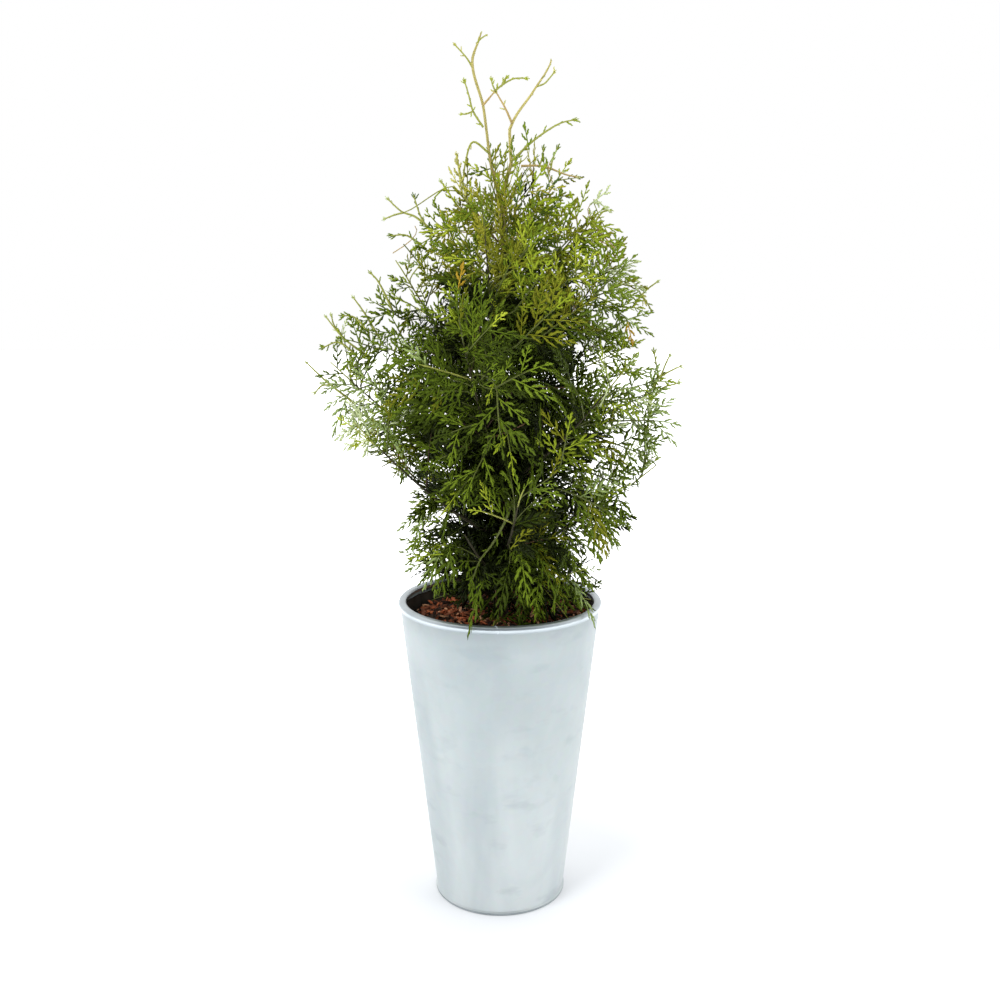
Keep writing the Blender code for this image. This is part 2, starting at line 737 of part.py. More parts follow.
def largest_piece(mesh):
    """Drops whatever fusing left loose or sealed inside, and triangulates the rest."""
    shape = bmesh.new()
    shape.from_mesh(mesh)
    waiting = set(shape.verts)
    groups = []
    while waiting:
        start = waiting.pop()
        group, front = {start}, [start]
        while front:
            for edge in front.pop().link_edges:
                for corner in edge.verts:
                    if corner in waiting:
                        waiting.discard(corner)
                        group.add(corner)
                        front.append(corner)
        groups.append(group)
    keep = max(groups, key=len)
    bmesh.ops.delete(shape, geom=[v for v in shape.verts if v not in keep], context="VERTS")
    bmesh.ops.triangulate(shape, faces=shape.faces)
    shape.to_mesh(mesh)
    shape.free()


def fuse(name, parts, finish):
    """Joins the parts of a mass by one Boolean union on a collection."""
    scrap = bpy.data.collections.new(name + "_parts")
    bpy.context.scene.collection.children.link(scrap)
    base = make_object(name, closed_mesh(name, *parts[0]), finish)
    for i, (points, faces) in enumerate(parts[1:]):
        piece = bpy.data.objects.new(f"{name}_part_{i}", closed_mesh("part", points, faces))
        scrap.objects.link(piece)
    union = base.modifiers.new("union", "BOOLEAN")
    union.operation = "UNION"
    union.operand_type = "COLLECTION"
    union.collection = scrap
    union.solver = "EXACT"
    bpy.context.view_layer.update()
    joined = bpy.data.meshes.new_from_object(base.evaluated_get(bpy.context.evaluated_depsgraph_get()))
    base.modifiers.clear()
    base.data = joined
    for piece in list(scrap.objects):
        bpy.data.objects.remove(piece, do_unlink=True)
    bpy.data.collections.remove(scrap)
    largest_piece(joined)
    joined.materials.clear()
    joined.materials.append(finish)
    return base


def obstacle_tree(limbs):
    """Limbs, planter and mulch with their clearance, as one tree of faces."""
    points, faces = [], []
    for limb in limbs:
        more, their_faces = limb.shape(LIMB_CLEARANCE)
        first = len(points)
        points.extend(more)
        faces.extend([tuple(first + k for k in face) for face in their_faces])
    rim = RIM_RADIUS + 2 * LIMB_CLEARANCE
    edge = fill_radius(SOIL_LEVEL)
    floor = SOIL_LEVEL + MULCH_RELIEF + LIMB_CLEARANCE
    outline = [(0.0, floor), (edge, floor), (rim - 3 * RIM_TUBE, POT_HEIGHT)]
    outline += [(rim - 2 * RIM_TUBE, POT_HEIGHT + 2 * LIMB_CLEARANCE), (rim, POT_HEIGHT)]
    outline += [(rim, POT_HEIGHT - 2 * RIM_TUBE), (rim - 2 * RIM_TUBE, POT_HEIGHT - RIM_GUARD)]
    first = len(points)
    for k in range(SHELL_SEGMENTS):
        angle = 2 * math.pi * k / SHELL_SEGMENTS
        for radius, height in outline:
            points.append(Vector((radius * math.cos(angle), radius * math.sin(angle), height)))
    step = len(outline)
    for k in range(SHELL_SEGMENTS):
        this, following = first + k * step, first + (k + 1) % SHELL_SEGMENTS * step
        faces.extend([(this + i, following + i, following + i + 1, this + i + 1) for i in range(step - 1)])
    return BVHTree.FromPolygons(points, faces)


# ---------------------------------------------------------------- the whole plant


def build_planter():
    zinc = material("zinc", (196, 206, 211), 0.45, 0.85)
    make_shell(zinc)
    make_floor(zinc)
    make_liner(material("black_plastic", (38, 38, 36), 0.6))
    make_root_ball(material("potting_soil", (58, 42, 30), 0.95))
    make_mulch(material("bark_chips", (100, 62, 44), 0.9))


def build_plant():
    bark = material("bark", (104, 76, 56), 0.85)
    foliage = {
        kind: material(f"foliage_{kind}", tone, 0.6) for kind, tone in FOLIAGE_TONES.items()
    }
    trunk = trunk_limb()
    leader = leader_limb(trunk)
    ways = bough_ways(trunk)
    limbs = [trunk, leader] + [bough_limb(way) for way in ways]
    for limb in limbs:
        limb.build(bark)
    ways += top_ways({limb.name: limb for limb in (trunk, leader)})
    stems = [stem_limb(way) for way in ways]
    lines = [np.array([tuple(way.at(s)) for s in spread(way.first_share, 1.0, 5)]) for way in ways]
    grown = []
    for i, way in enumerate(ways):
        own = ("bough_" + way.name, "stem_" + way.name)
        obstacles = obstacle_tree([limb for limb in limbs + stems if limb.name not in own])
        space = Space(lines[i], lines[:i] + lines[i + 1 :], obstacles, grown)
        kind = way.name.split("_")[0]
        chance = random.Random(SEED + 10 * (i + 1))
        mass = Mass(way, space, chance)
        fuse("foliage_" + way.name, mass.grow(), foliage[kind])
        grown.extend(tree for name, tree in space.kept)


clear_scene()
build_planter()
build_plant()
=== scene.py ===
import random
from math import atan2, copysign, cos, exp, hypot, inf, pi, radians, sin, sqrt

import bpy
import numpy as np
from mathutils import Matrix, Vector, noise


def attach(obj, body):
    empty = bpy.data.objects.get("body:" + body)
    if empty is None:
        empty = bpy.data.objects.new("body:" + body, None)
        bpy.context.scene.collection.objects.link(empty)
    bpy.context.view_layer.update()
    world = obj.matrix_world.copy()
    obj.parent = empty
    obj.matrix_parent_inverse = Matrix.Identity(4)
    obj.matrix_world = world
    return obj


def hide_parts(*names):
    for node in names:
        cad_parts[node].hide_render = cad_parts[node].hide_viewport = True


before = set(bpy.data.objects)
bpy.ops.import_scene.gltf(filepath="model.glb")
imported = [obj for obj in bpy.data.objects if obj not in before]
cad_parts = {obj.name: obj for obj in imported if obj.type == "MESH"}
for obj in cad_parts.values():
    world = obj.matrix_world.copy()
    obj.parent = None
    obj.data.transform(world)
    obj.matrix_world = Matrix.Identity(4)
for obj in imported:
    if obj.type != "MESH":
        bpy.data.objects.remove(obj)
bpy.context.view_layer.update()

UP = np.array((0.0, 0.0, 1.0))
SEED = 41
chance = random.Random()  # seeded anew for each kind of growth
draw = chance.uniform  # a number between two others

# ------------------------------------------------------------------ sizes, in metres

# Planter
POT_HEIGHT = 0.500
RIM_RADIUS = 0.1640
RIM_DEPTH = 0.0118
FOOT_RADIUS = 0.1080
FOOT_HEIGHT = 0.0045
FOOT_STEP = 0.0018
HOOP_TOP = 0.0032
FOOT_PROFILE = (
    (0.0012, 0.0), (0.0002, 0.0006), (0.0, 0.0014), (0.0, FOOT_HEIGHT - 0.0008), (0.0006, FOOT_HEIGHT),
)  # inwards from the foot's outside, and up
SHEET = 0.0009
POT_STEPS = 128
LINER_INSIDE = 0.1538  # radius inside the inner pot at the bark
SOIL_LEVEL = 0.4700

# The rolled rim, from its outside and top: out of the wall, over the bead and down its inside
RIM_PROFILE = (
    (-0.00325, -0.0121), (-0.00200, -0.0112), (-0.00080, -0.0095), (-0.00010, -0.0072),
    (-0.00010, -0.0048), (-0.00090, -0.0026), (-0.00250, -0.0010), (-0.00480, -0.0002), (-0.00750, 0.0000),
    (-0.01000, -0.0005), (-0.01180, -0.0017), (-0.01280, -0.0036), (-0.01300, -0.0060),
    (-0.01260, -0.0084),
)

# The slanting lap in the rim, cut from a torus: angles in degrees, lengths in metres
LAP_AZIMUTH = -92.2
LAP_SLANT = 34.0
LAP_RING = 0.0065
LAP_TUBE = 0.0011
LAP_MIDDLE = 0.0066  # below the rim's top
LAP_CUT = 0.0105  # below the rim's top

# Bark chips: how many are dealt, and the share of each of the four finishes
CHIP_COUNT = 1150
CHIP_SHARES = (0.28, 0.34, 0.26, 0.12)
BED_SHARES = (0.93, 0.84, 0.74, 0.63, 0.52, 0.41, 0.30, 0.19, 0.09)

# Trunk and second leader: height, x, y of the centre line
TRUNK_LINE = (
    (SOIL_LEVEL, 0.000, 0.000), (0.640, 0.005, 0.006), (0.800, -0.003, 0.004), (0.950, 0.004, -0.003),
    (1.103, 0.003, 0.000), (1.177, -0.014, 0.002), (1.259, -0.025, 0.000), (1.320, -0.041, -0.003),
    (1.362, -0.028, -0.002),
)
TRUNK_TOP = TRUNK_LINE[-1][0]
TRUNK_RADIUS = 0.0095
TRUNK_TIP = 0.0010
TRUNK_TAPER = 1.25
TRUNK_FLARE = 0.0055
TRUNK_FLARE_HEIGHT = 0.016
LEADER_ROOT = 1.120
LEADER_LINE = (
    (1.177, 0.017, -0.002), (1.208, 0.015, -0.004), (1.233, 0.018, -0.004), (1.283, 0.052, -0.006),
    (1.323, 0.076, -0.004),
)
LEADER_FOOT, LEADER_TOP = LEADER_LINE[0][0], LEADER_LINE[-1][0]
LEADER_RADII = (0.0028, 0.0012)
CENTRE_LINES = {"trunk": TRUNK_LINE, "second_leader": LEADER_LINE}

# How far the crown reaches from the trunk, in millimetres: heights, then the reach there to the right,
# to the left, to the face side and to the rear
BOUGH_REACH = np.array((
    (450, 520, 600, 660, 710, 770, 870, 960, 1040, 1120, 1190, 1250, 1370),
    (178, 180, 215, 236, 250, 298, 286, 245, 215, 178, 130, 112, 80),
    (150, 160, 168, 180, 210, 282, 306, 280, 195, 180, 110, 66, 70),
    (174, 178, 190, 205, 215, 262, 275, 245, 205, 160, 110, 70, 40),
    (160, 172, 192, 210, 222, 270, 280, 240, 195, 150, 105, 70, 40),
)) / 1000

# Where the finest twigs stop, which is inside the crown's reach and follows its notches more closely
TWIG_REACH = np.array((
    (450, 520, 600, 645, 677, 710, 745, 770, 870, 900, 960, 995, 1030, 1060, 1120, 1150, 1190, 1250, 1370),
    (178, 180, 215, 222, 212, 225, 275, 290, 275, 245, 235, 225, 222, 200, 172, 165, 120, 112, 80),
    (150, 160, 166, 158, 138, 170, 236, 262, 288, 266, 232, 192, 152, 130, 98, 82, 66, 58, 60),
    (174, 178, 190, 202, 206, 212, 246, 262, 275, 265, 245, 225, 205, 190, 150, 125, 100, 70, 40),
    (160, 172, 192, 205, 210, 220, 254, 270, 280, 268, 240, 220, 195, 180, 145, 125, 95, 70, 40),
)) / 1000
OUTLINE_SLACK = 0.008
BOUGH_SLACK = -0.022
SPRAY_SLACK = 0.002
FROND_SLACK = 0.004

# Tiers of boughs: name, count, azimuth of the first, height of the root, height of the tip
TIERS = (
    ("skirt", 4, 264.0, 0.492, 0.515),
    ("low", 5, 180.0, 0.522, 0.655),
    ("middle", 5, 354.0, 0.590, 0.800),
    ("upper", 5, 178.0, 0.710, 0.950),
    ("high", 4, 352.0, 0.850, 1.125),
)
STAGGER = (-0.042, 0.042)
SKIRT_STAGGER = 0.2
ROOT_STAGGER = 0.4
SWAY = 5.0
LIFT = 0.012
RISE_POWER = 1.35

# Radii of a bough at these shares of its way and at its end, and of the thinner limbs at root and tip
BOUGH_SHARES = (-0.02, 0.03, 0.24)
BOUGH_RADII = (0.0052, 0.0040, 0.0026, 0.0009)
TOP_LIMB_RADII = (0.0016, 0.0008)
TWIG_RADIUS = 0.0009

# Small masses straight from trunk or leader: name, limb, root, azimuth, reach, rise
TOP_MASSES = (
    ("top_right", "trunk", 1.060, 12.0, 0.112, 0.140),
    ("top_left", "trunk", 1.075, 165.0, 0.100, 0.105),
    ("top_face", "trunk", 1.050, 262.0, 0.095, 0.130),
    ("top_rear", "trunk", 1.085, 84.0, 0.085, 0.110),
    ("tip_left", "trunk", 1.225, 184.0, 0.042, 0.075),
    ("tip_middle", "trunk", 1.262, 350.0, 0.070, 0.035),
    ("tip_right", "second_leader", 1.200, 358.0, 0.095, 0.045),
)

# Sprays along a bough, fronds along a spray, branchlets along a frond; angles in degrees
SPRAY_PITCH = 0.0150
SPRAY_START = 0.026  # from the trunk
SPRAY_ANGLE = 48.0
SPRAY_LONGEST = 0.138
SPRAY_SHORTEST = 0.050  # that is kept near the outline
SPRAY_STOP = 0.075  # from the bough's end
END_SPRAY = 0.088
END_SPRAY_ROOT = 0.085  # from the bough's end
ROLLS = (10.0, 190.0, 72.0, 172.0, 352.0, 256.0)
ROLL_SWAY = 26.0
FROND_PITCH = 0.0130
FROND_ANGLE = 47.0
FROND_SHORTEST = 0.026
BRANCHLET_ANGLE = 46.0
BRANCHLET_THICKNESS = 0.0008
STALK = 0.005  # bare foot of a frond
DROOP = {"skirt": 0.30, "low": 0.22, "middle": 0.12, "upper": 0.05, "high": 0.02, "top": 0.0}

# Kinds of frond: lengths, variants of each, then the branchlets' pitch, greatest length, width for
# their length, and whether their outline is plain
FROND_KINDS = {
    "full": ((0.040, 0.052, 0.066, 0.080), 2, 0.0054, 0.0240, 0.110, False),
    "open": ((0.042, 0.056, 0.072, 0.088), 3, 0.0076, 0.0310, 0.106, False),
    "plain": ((0.060, 0.085), 2, 0.0060, 0.0250, 0.125, True),
    "sprig": ((0.028, 0.042, 0.058, 0.090), 3, 0.0080, 0.0150, 0.112, False),
}
OPEN_FROM = 0.60  # share of the crown's reach from which fronds are open
UPRIGHT_FROM = 0.98  # height from which sprays turn more and more upright
SPRIG_FROM = 1.115  # height from which fronds are sprigs

# Share of the sprays near the outline that are left out, so that the sky shows through
OUTER_GAPS = {"skirt": 0.44, "low": 0.66, "middle": 0.62, "upper": 0.55, "high": 0.58, "top": 0.55}
OUTER_FROM = 0.78  # share of the crown's reach from which that holds
THIN_FROM = 1.15  # height from which more sprays are left out
THIN_SHARE = 0.6

# Fronds in painted shade greens that close the middle of the crown
HEART_START = 0.020
HEART_SHARE = 0.57  # of each bough
HEART_PITCH = 0.0085
HEART_TOP = 0.985
TRUNK_FRONDS = (0.505, 0.98)  # heights of the first and the last
INNER_TOP = 0.74  # height to which every trunk frond has a second one further out
TRUNK_PITCHES = (0.0018, 0.0048)  # below and above this height
TRUNK_SPARSE_FROM = 0.80
GOLDEN_ANGLE = 2.39996

# Small fronds along a joining twig, lobes along a shoot, and scales on the leaders: sizes and pitches
LEAFY_FROM = 0.020
LEAFY_PITCH = 0.011
LEAFY_SIZES = (0.028, 0.046)
LOBE_PITCHES = (0.0055, 0.0095)
SCALES_FROM = 1.150  # height on the trunk
SCALE_SIZES = (0.0050, 0.0078)
SCALE_PITCHES = (0.0028, 0.0050)

# Lamps, aimed at a height on the axis: name, place, that height, size, power
LAMPS = (
    ("key", (-1.9, -1.9, 2.9), 0.8, (1.6, 1.6), 76.0),
    ("fill", (2.5, -1.2, 1.6), 0.7, (1.4, 2.0), 24.0),
    ("top", (0.2, 0.3, 3.2), 0.8, (2.0, 2.0), 34.0),
)
CAMERA_LENS = 40.72
CAMERA_PLACE = (0.0, -1.768, 1.001)
CAMERA_DIP = 10.9  # degrees below level
FLOOR_SIZE = 30.0
FLOOR_GLOW = (0.11, 1.20, 0.25, 2.2)  # from and to this strength, between these distances

# Branchlets in their own plane, for a length and a half width of 1, then the points of their ridge:
# lobed is a strap with two lobes on each side, plain is an oval
LOBED_OUTLINE = (
    (0.00, 0.00), (0.08, 0.50), (0.34, 1.00), (0.42, 0.52), (0.68, 0.95), (0.76, 0.42), (1.00, 0.00),
    (0.90, -0.42), (0.84, -0.90), (0.56, -0.50), (0.50, -1.00), (0.16, -0.52),
)
LOBED_RIDGE = ((0.27, 0.0), (0.60, 0.0))
LOBED_FACES = np.array((
    (0, 12, 1), (12, 2, 1), (12, 3, 2), (12, 13, 3), (13, 4, 3), (13, 5, 4), (13, 6, 5), (0, 11, 12),
    (12, 11, 10), (12, 10, 9), (12, 9, 13), (13, 9, 8), (13, 8, 7), (13, 7, 6), (0, 1, 11), (1, 2, 3),
    (11, 9, 10), (1, 3, 11), (11, 3, 9), (3, 4, 5), (9, 7, 8), (3, 5, 9), (9, 5, 7), (5, 6, 7),
))
PLAIN_OUTLINE = ((0.00, 0.00), (0.30, 0.85), (0.70, 0.80), (1.00, 0.00), (0.78, -0.75), (0.34, -0.90))
PLAIN_RIDGE = ((0.50, 0.0),)
PLAIN_FACES = np.array((
    (0, 6, 1), (1, 6, 2), (2, 6, 3), (3, 6, 4), (4, 6, 5), (5, 6, 0), (0, 1, 5), (1, 2, 4), (1, 4, 5),
    (2, 3, 4),
))

# Greens of the sprays, from the painted shade inside the crown to the thin new tips, whose pale greens are
# partly painted light
LEAF_TONES = {
    "shade": (29, 37, 8), "deep": (60, 74, 14), "blue": (84, 108, 48), "green": (82, 100, 20),
    "leaf": (106, 126, 30), "olive": (116, 120, 26), "fresh": (136, 152, 36), "lime": (162, 174, 50),
    "soft": (144, 163, 96), "pale": (184, 196, 142), "gold": (156, 154, 48), "straw": (184, 182, 96),
    "rust": (176, 144, 44),
}
TWIG_TONES = {
    "wood": (104, 78, 52), "tan": (164, 142, 88), "shoot": (140, 144, 62), "moss": (78, 86, 30),
    "bark": (62, 44, 30),
}
LEAF_NAMES = list(LEAF_TONES)
TWIG_NAMES = list(TWIG_TONES)

# The greens dealt out up to each share of the crown's reach (painted shade inside, partly painted light at
# the outline), those of the top, of the lit face (painted light) and of the leaders, and the twigs' colours
# from each share outwards
REACH_GREENS = (
    (0.36, ("shade", "deep", "deep")),
    (0.56, ("deep", "green", "deep", "green", "leaf")),
    (0.80, ("green", "leaf", "leaf", "olive", "green", "fresh")),
    (0.94, ("leaf", "soft", "fresh", "soft", "green", "soft")),
    (1.12, ("pale", "soft", "fresh", "soft", "pale", "leaf")),
    (inf, ("pale", "soft", "pale", "lime")),
)
TOP_GREENS = ("olive", "gold", "fresh", "leaf", "fresh", "lime", "olive")
FACE_GREENS = ("leaf", "fresh", "leaf", "lime", "green")
FACE_FROM = 0.80  # share of the crown's reach
FACE_HALF_WIDTH = 0.12
LEADER_GREENS = ("straw", "pale", "gold")
REACH_TWIGS = ((0.85, ("moss", "shoot")), (0.6, ("wood", "moss")), (-inf, ("bark", "moss")))

# ------------------------------------------------------------------ drawn sprays and shoots

# Single sprays on the face side and at the outline, in whole numbers: root and tip (x, y, z in
# millimetres), the way the flat side looks (x, y, z in tenths), droop in hundredths, green
SINGLE_SPRAYS = (
    (24, -175, 915, 95, -215, 992, -3, -10, 2, 0, "olive"),
    (-6, -205, 858, 70, -225, 905, 0, -10, 3, 10, "leaf"),
    (-4, -215, 853, -3, -240, 760, 5, -10, 1, 0, "green"),
    (86, -175, 744, 100, -205, 826, 1, -10, 2, 0, "fresh"),
    (-42, -155, 930, -61, -200, 1005, 2, -10, 2, 0, "fresh"),
    (132, -80, 975, 208, -55, 1050, -2, -10, 2, 5, "leaf"),
    (80, -50, 1040, 160, -35, 1125, -2, -10, 1, 4, "fresh"),
    (89, -120, 700, 205, -85, 655, -1, -10, 5, 12, "green"),
    (-60, -130, 630, -128, -115, 560, -3, -10, 5, 10, "green"),
    (172, -20, 805, 264, -30, 850, 1, -10, 2, 5, "soft"),
    (180, -30, 790, 284, -30, 800, 1, -10, 4, 10, "soft"),
    (150, -30, 765, 252, -45, 735, 0, -10, 3, 10, "green"),
    (130, -30, 715, 232, -50, 672, 2, -10, 3, 8, "green"),
    (115, -20, 665, 224, -40, 620, 0, -10, 4, 10, "leaf"),
    (150, -20, 925, 234, -30, 965, 1, -10, 2, 5, "leaf"),
    (130, 10, 1000, 215, -20, 1040, 0, -10, 3, 5, "pale"),
    (-185, -20, 850, -282, -30, 825, 0, -10, 3, 22, "soft"),
    (-165, -20, 800, -258, -40, 785, -2, -10, 3, 22, "pale"),
    (-175, 0, 895, -262, -20, 925, 1, -10, 2, 5, "leaf"),
    (-150, 0, 945, -218, -20, 988, 0, -10, 2, 0, "leaf"),
    (-115, -20, 1020, -166, -30, 1086, 1, -10, 2, 0, "soft"),
    (-130, -30, 745, -216, -45, 712, 1, -10, 3, 10, "green"),
    (-95, -40, 665, -166, -50, 632, -1, -10, 4, 12, "soft"),
    (-85, -50, 608, -152, -60, 580, -1, -10, 5, 15, "leaf"),
    (50, -40, 1030, 100, -60, 1115, 1, -10, 1, 0, "olive"),
    (70, -30, 1020, 130, -40, 1090, -1, -10, 2, 0, "leaf"),
    (30, -50, 1030, 70, -80, 1110, 2, -10, 1, 0, "green"),
    (15, -60, 1000, 45, -100, 1080, 0, -10, 2, 0, "olive"),
    (-30, -50, 1020, -70, -80, 1085, 1, -10, 1, 0, "leaf"),
    (-40, -60, 985, -80, -110, 1050, -1, -10, 2, 0, "green"),
    (20, -120, 960, 80, -165, 1035, -2, -10, 2, 0, "fresh"),
    (60, -130, 925, 135, -150, 985, 0, -10, 3, 0, "olive"),
    (-5, -110, 985, 30, -145, 1060, 1, -10, 1, 0, "olive"),
    (80, -90, 985, 140, -110, 1050, -1, -10, 2, 0, "lime"),
    (-20, -140, 900, -45, -200, 975, 2, -10, 1, 0, "leaf"),
    (-90, -120, 870, -150, -160, 930, 1, -10, 2, 5, "green"),
    (-130, -30, 880, -195, -40, 920, 1, -10, 2, 5, "leaf"),
    (-120, -35, 850, -190, -45, 868, -1, -10, 2, 5, "green"),
    (-125, -30, 820, -195, -40, 812, 1, -10, 3, 8, "leaf"),
    (-140, -20, 900, -172, -30, 965, 1, -10, 1, 0, "green"),
    (-110, -35, 780, -175, -45, 765, 0, -10, 3, 10, "green"),
    (110, -50, 640, 190, -60, 610, 1, -10, 4, 10, "leaf"),
    (120, -40, 670, 200, -45, 650, -1, -10, 3, 8, "green"),
    (-80, -50, 640, -148, -60, 600, 0, -10, 4, 10, "leaf"),
    (-75, -30, 925, -155, -40, 945, 1, -10, 2, 4, "green"),
    (-70, -40, 900, -150, -50, 905, -1, -10, 3, 4, "leaf"),
    (-85, -50, 945, -130, -60, 980, 0, -10, 2, 0, "leaf"),
    (-100, -60, 915, -165, -70, 925, 2, -10, 2, 4, "green"),
    (-50, -120, 845, -125, -160, 850, 0, -10, 4, 6, "green"),
    (-30, -130, 800, -100, -175, 785, 1, -10, 4, 8, "leaf"),
    (-20, -150, 760, -55, -190, 700, -1, -10, 3, 8, "leaf"),
    (-55, -110, 760, -120, -140, 735, 1, -10, 4, 8, "green"),
    (-40, -110, 720, -85, -145, 675, 0, -10, 4, 10, "green"),
    (10, -150, 790, 20, -190, 735, 2, -10, 3, 8, "fresh"),
    (75, -60, 640, 150, -70, 600, 0, -10, 4, 10, "leaf"),
    (70, -70, 600, 130, -80, 565, 1, -10, 5, 12, "green"),
    (-165, -30, 840, -235, -40, 842, 0, -10, 3, 6, "soft"),
    (175, -30, 860, 238, -35, 875, 0, -10, 2, 3, "leaf"),
    (55, -60, 1060, 75, -70, 1125, 1, -10, 1, 0, "olive"),
    (85, -50, 1060, 110, -60, 1122, -1, -10, 2, 0, "leaf"),
    (100, -40, 1040, 145, -45, 1105, 1, -10, 3, 0, "olive"),
    (35, -70, 1060, 48, -80, 1128, -2, -10, 1, 0, "deep"),
    (10, -60, 1070, 20, -70, 1140, 2, -10, 2, 0, "olive"),
    (-20, -50, 1060, -30, -60, 1130, 0, -10, 1, 0, "olive"),
    (65, -20, 1080, 95, -25, 1140, 1, -10, 1, 0, "green"),
    (20, -110, 1020, 60, -130, 1085, 1, -10, 2, 0, "leaf"),
    (-60, -60, 1040, -85, -75, 1105, 1, -10, 2, 0, "leaf"),
    (-58, -180, 990, -50, -184, 1030, 2, -10, 1, 0, "rust"),
    (192, -50, 942, 200, -55, 905, 1, -10, 1, 0, "rust"),
)

# Fronds that hang from the lowest boughs over the bark and the rim, in the same way
HANGING_FRONDS = (
    (-73, -85, 600, -98, -110, 530, 1, -10, 4, 20, "green"),
    (-52, -95, 600, -70, -130, 527, -2, -10, 4, 20, "green"),
    (-85, -70, 600, -120, -85, 545, 2, -10, 4, 20, "soft"),
    (-75, -80, 570, -68, -105, 512, 3, -10, 2, 20, "soft"),
    (-10, -105, 600, -50, -135, 548, -1, -10, 4, 20, "deep"),
    (-36, -95, 570, -34, -130, 505, 4, -10, 3, 20, "green"),
    (14, -115, 585, -6, -145, 513, 5, -10, 2, 20, "deep"),
    (30, -110, 605, 42, -145, 540, 1, -10, 4, 20, "leaf"),
    (35, -100, 570, 28, -130, 507, -4, -10, 2, 20, "deep"),
    (55, -105, 600, 84, -130, 550, -3, -10, 5, 20, "green"),
    (60, -95, 565, 52, -128, 507, 5, -10, 3, 20, "leaf"),
    (85, -90, 575, 101, -110, 515, -1, -10, 4, 20, "green"),
    (98, -70, 590, 146, -80, 545, 1, -10, 6, 20, "leaf"),
    (105, -75, 560, 128, -75, 507, 3, -10, 3, 20, "soft"),
    (-33, -100, 610, -60, -120, 566, 1, -10, 4, 20, "soft"),
    (-18, -118, 600, -40, -150, 540, 3, -10, 4, 22, "green"),
    (-24, -138, 565, -48, -173.5, 535, 3, -10, 4, 100, "green"),
    (112, -82, 545, 147, -107, 519, 5, -9, 6, 80, "soft"),
)

# Sprigs at the top: root and tip in millimetres, green
TOP_SPRIGS = (
    (43, -30, 1193, 34, -34, 1233, "leaf"), (66, -35, 1164, 63, -36, 1189, "leaf"),
    (74, -35, 1175, 84, -36, 1193, "soft"), (24, -20, 1171, 16, -24, 1206, "leaf"),
    (-15, -20, 1167, -49, -26, 1157, "green"), (-58, -30, 1141, -65, -30, 1187, "straw"),
    (-49, -40, 1120, -78, -40, 1168, "straw"), (-64, -35, 1112, -86, -40, 1145, "lime"),
    (-13, -20, 1174, 1, -22, 1205, "olive"), (4, -30, 1156, 10, -34, 1192, "olive"),
    (4, -45, 1100, 12, -50, 1160, "olive"), (12, -55, 1088, 4, -60, 1145, "gold"),
    (-4, -40, 1112, -1, -45, 1163, "gold"), (-19, -45, 1100, -23, -50, 1140, "olive"),
    (-39, -40, 1089, -43, -50, 1131, "lime"), (-30, -30, 1113, -36, -30, 1153, "gold"),
    (-55, -30, 1086, -61, -40, 1126, "olive"), (21, -50, 1101, 32, -55, 1149, "blue"),
    (29, -50, 1120, 54, -55, 1152, "shade"), (47, -50, 1114, 88, -50, 1151, "blue"),
    (83, -50, 1106, 90, -60, 1143, "leaf"), (66, -50, 1097, 60, -60, 1133, "olive"),
    (50, -60, 1082, 41, -70, 1124, "green"), (114, -40, 1097, 133, -40, 1149, "fresh"),
    (100, -50, 1085, 114, -60, 1125, "olive"), (134, -30, 1114, 172, -30, 1144, "pale"),
    (143, -30, 1121, 167, -30, 1102, "pale"), (125, -40, 1097, 152, -50, 1075, "fresh"),
    (-82, -30, 1086, -101, -40, 1122, "leaf"), (-96, -30, 1089, -119, -35, 1115, "fresh"),
    (-71, -40, 1069, -87, -50, 1106, "fresh"), (-128, -20, 1084, -158, -30, 1114, "soft"),
)

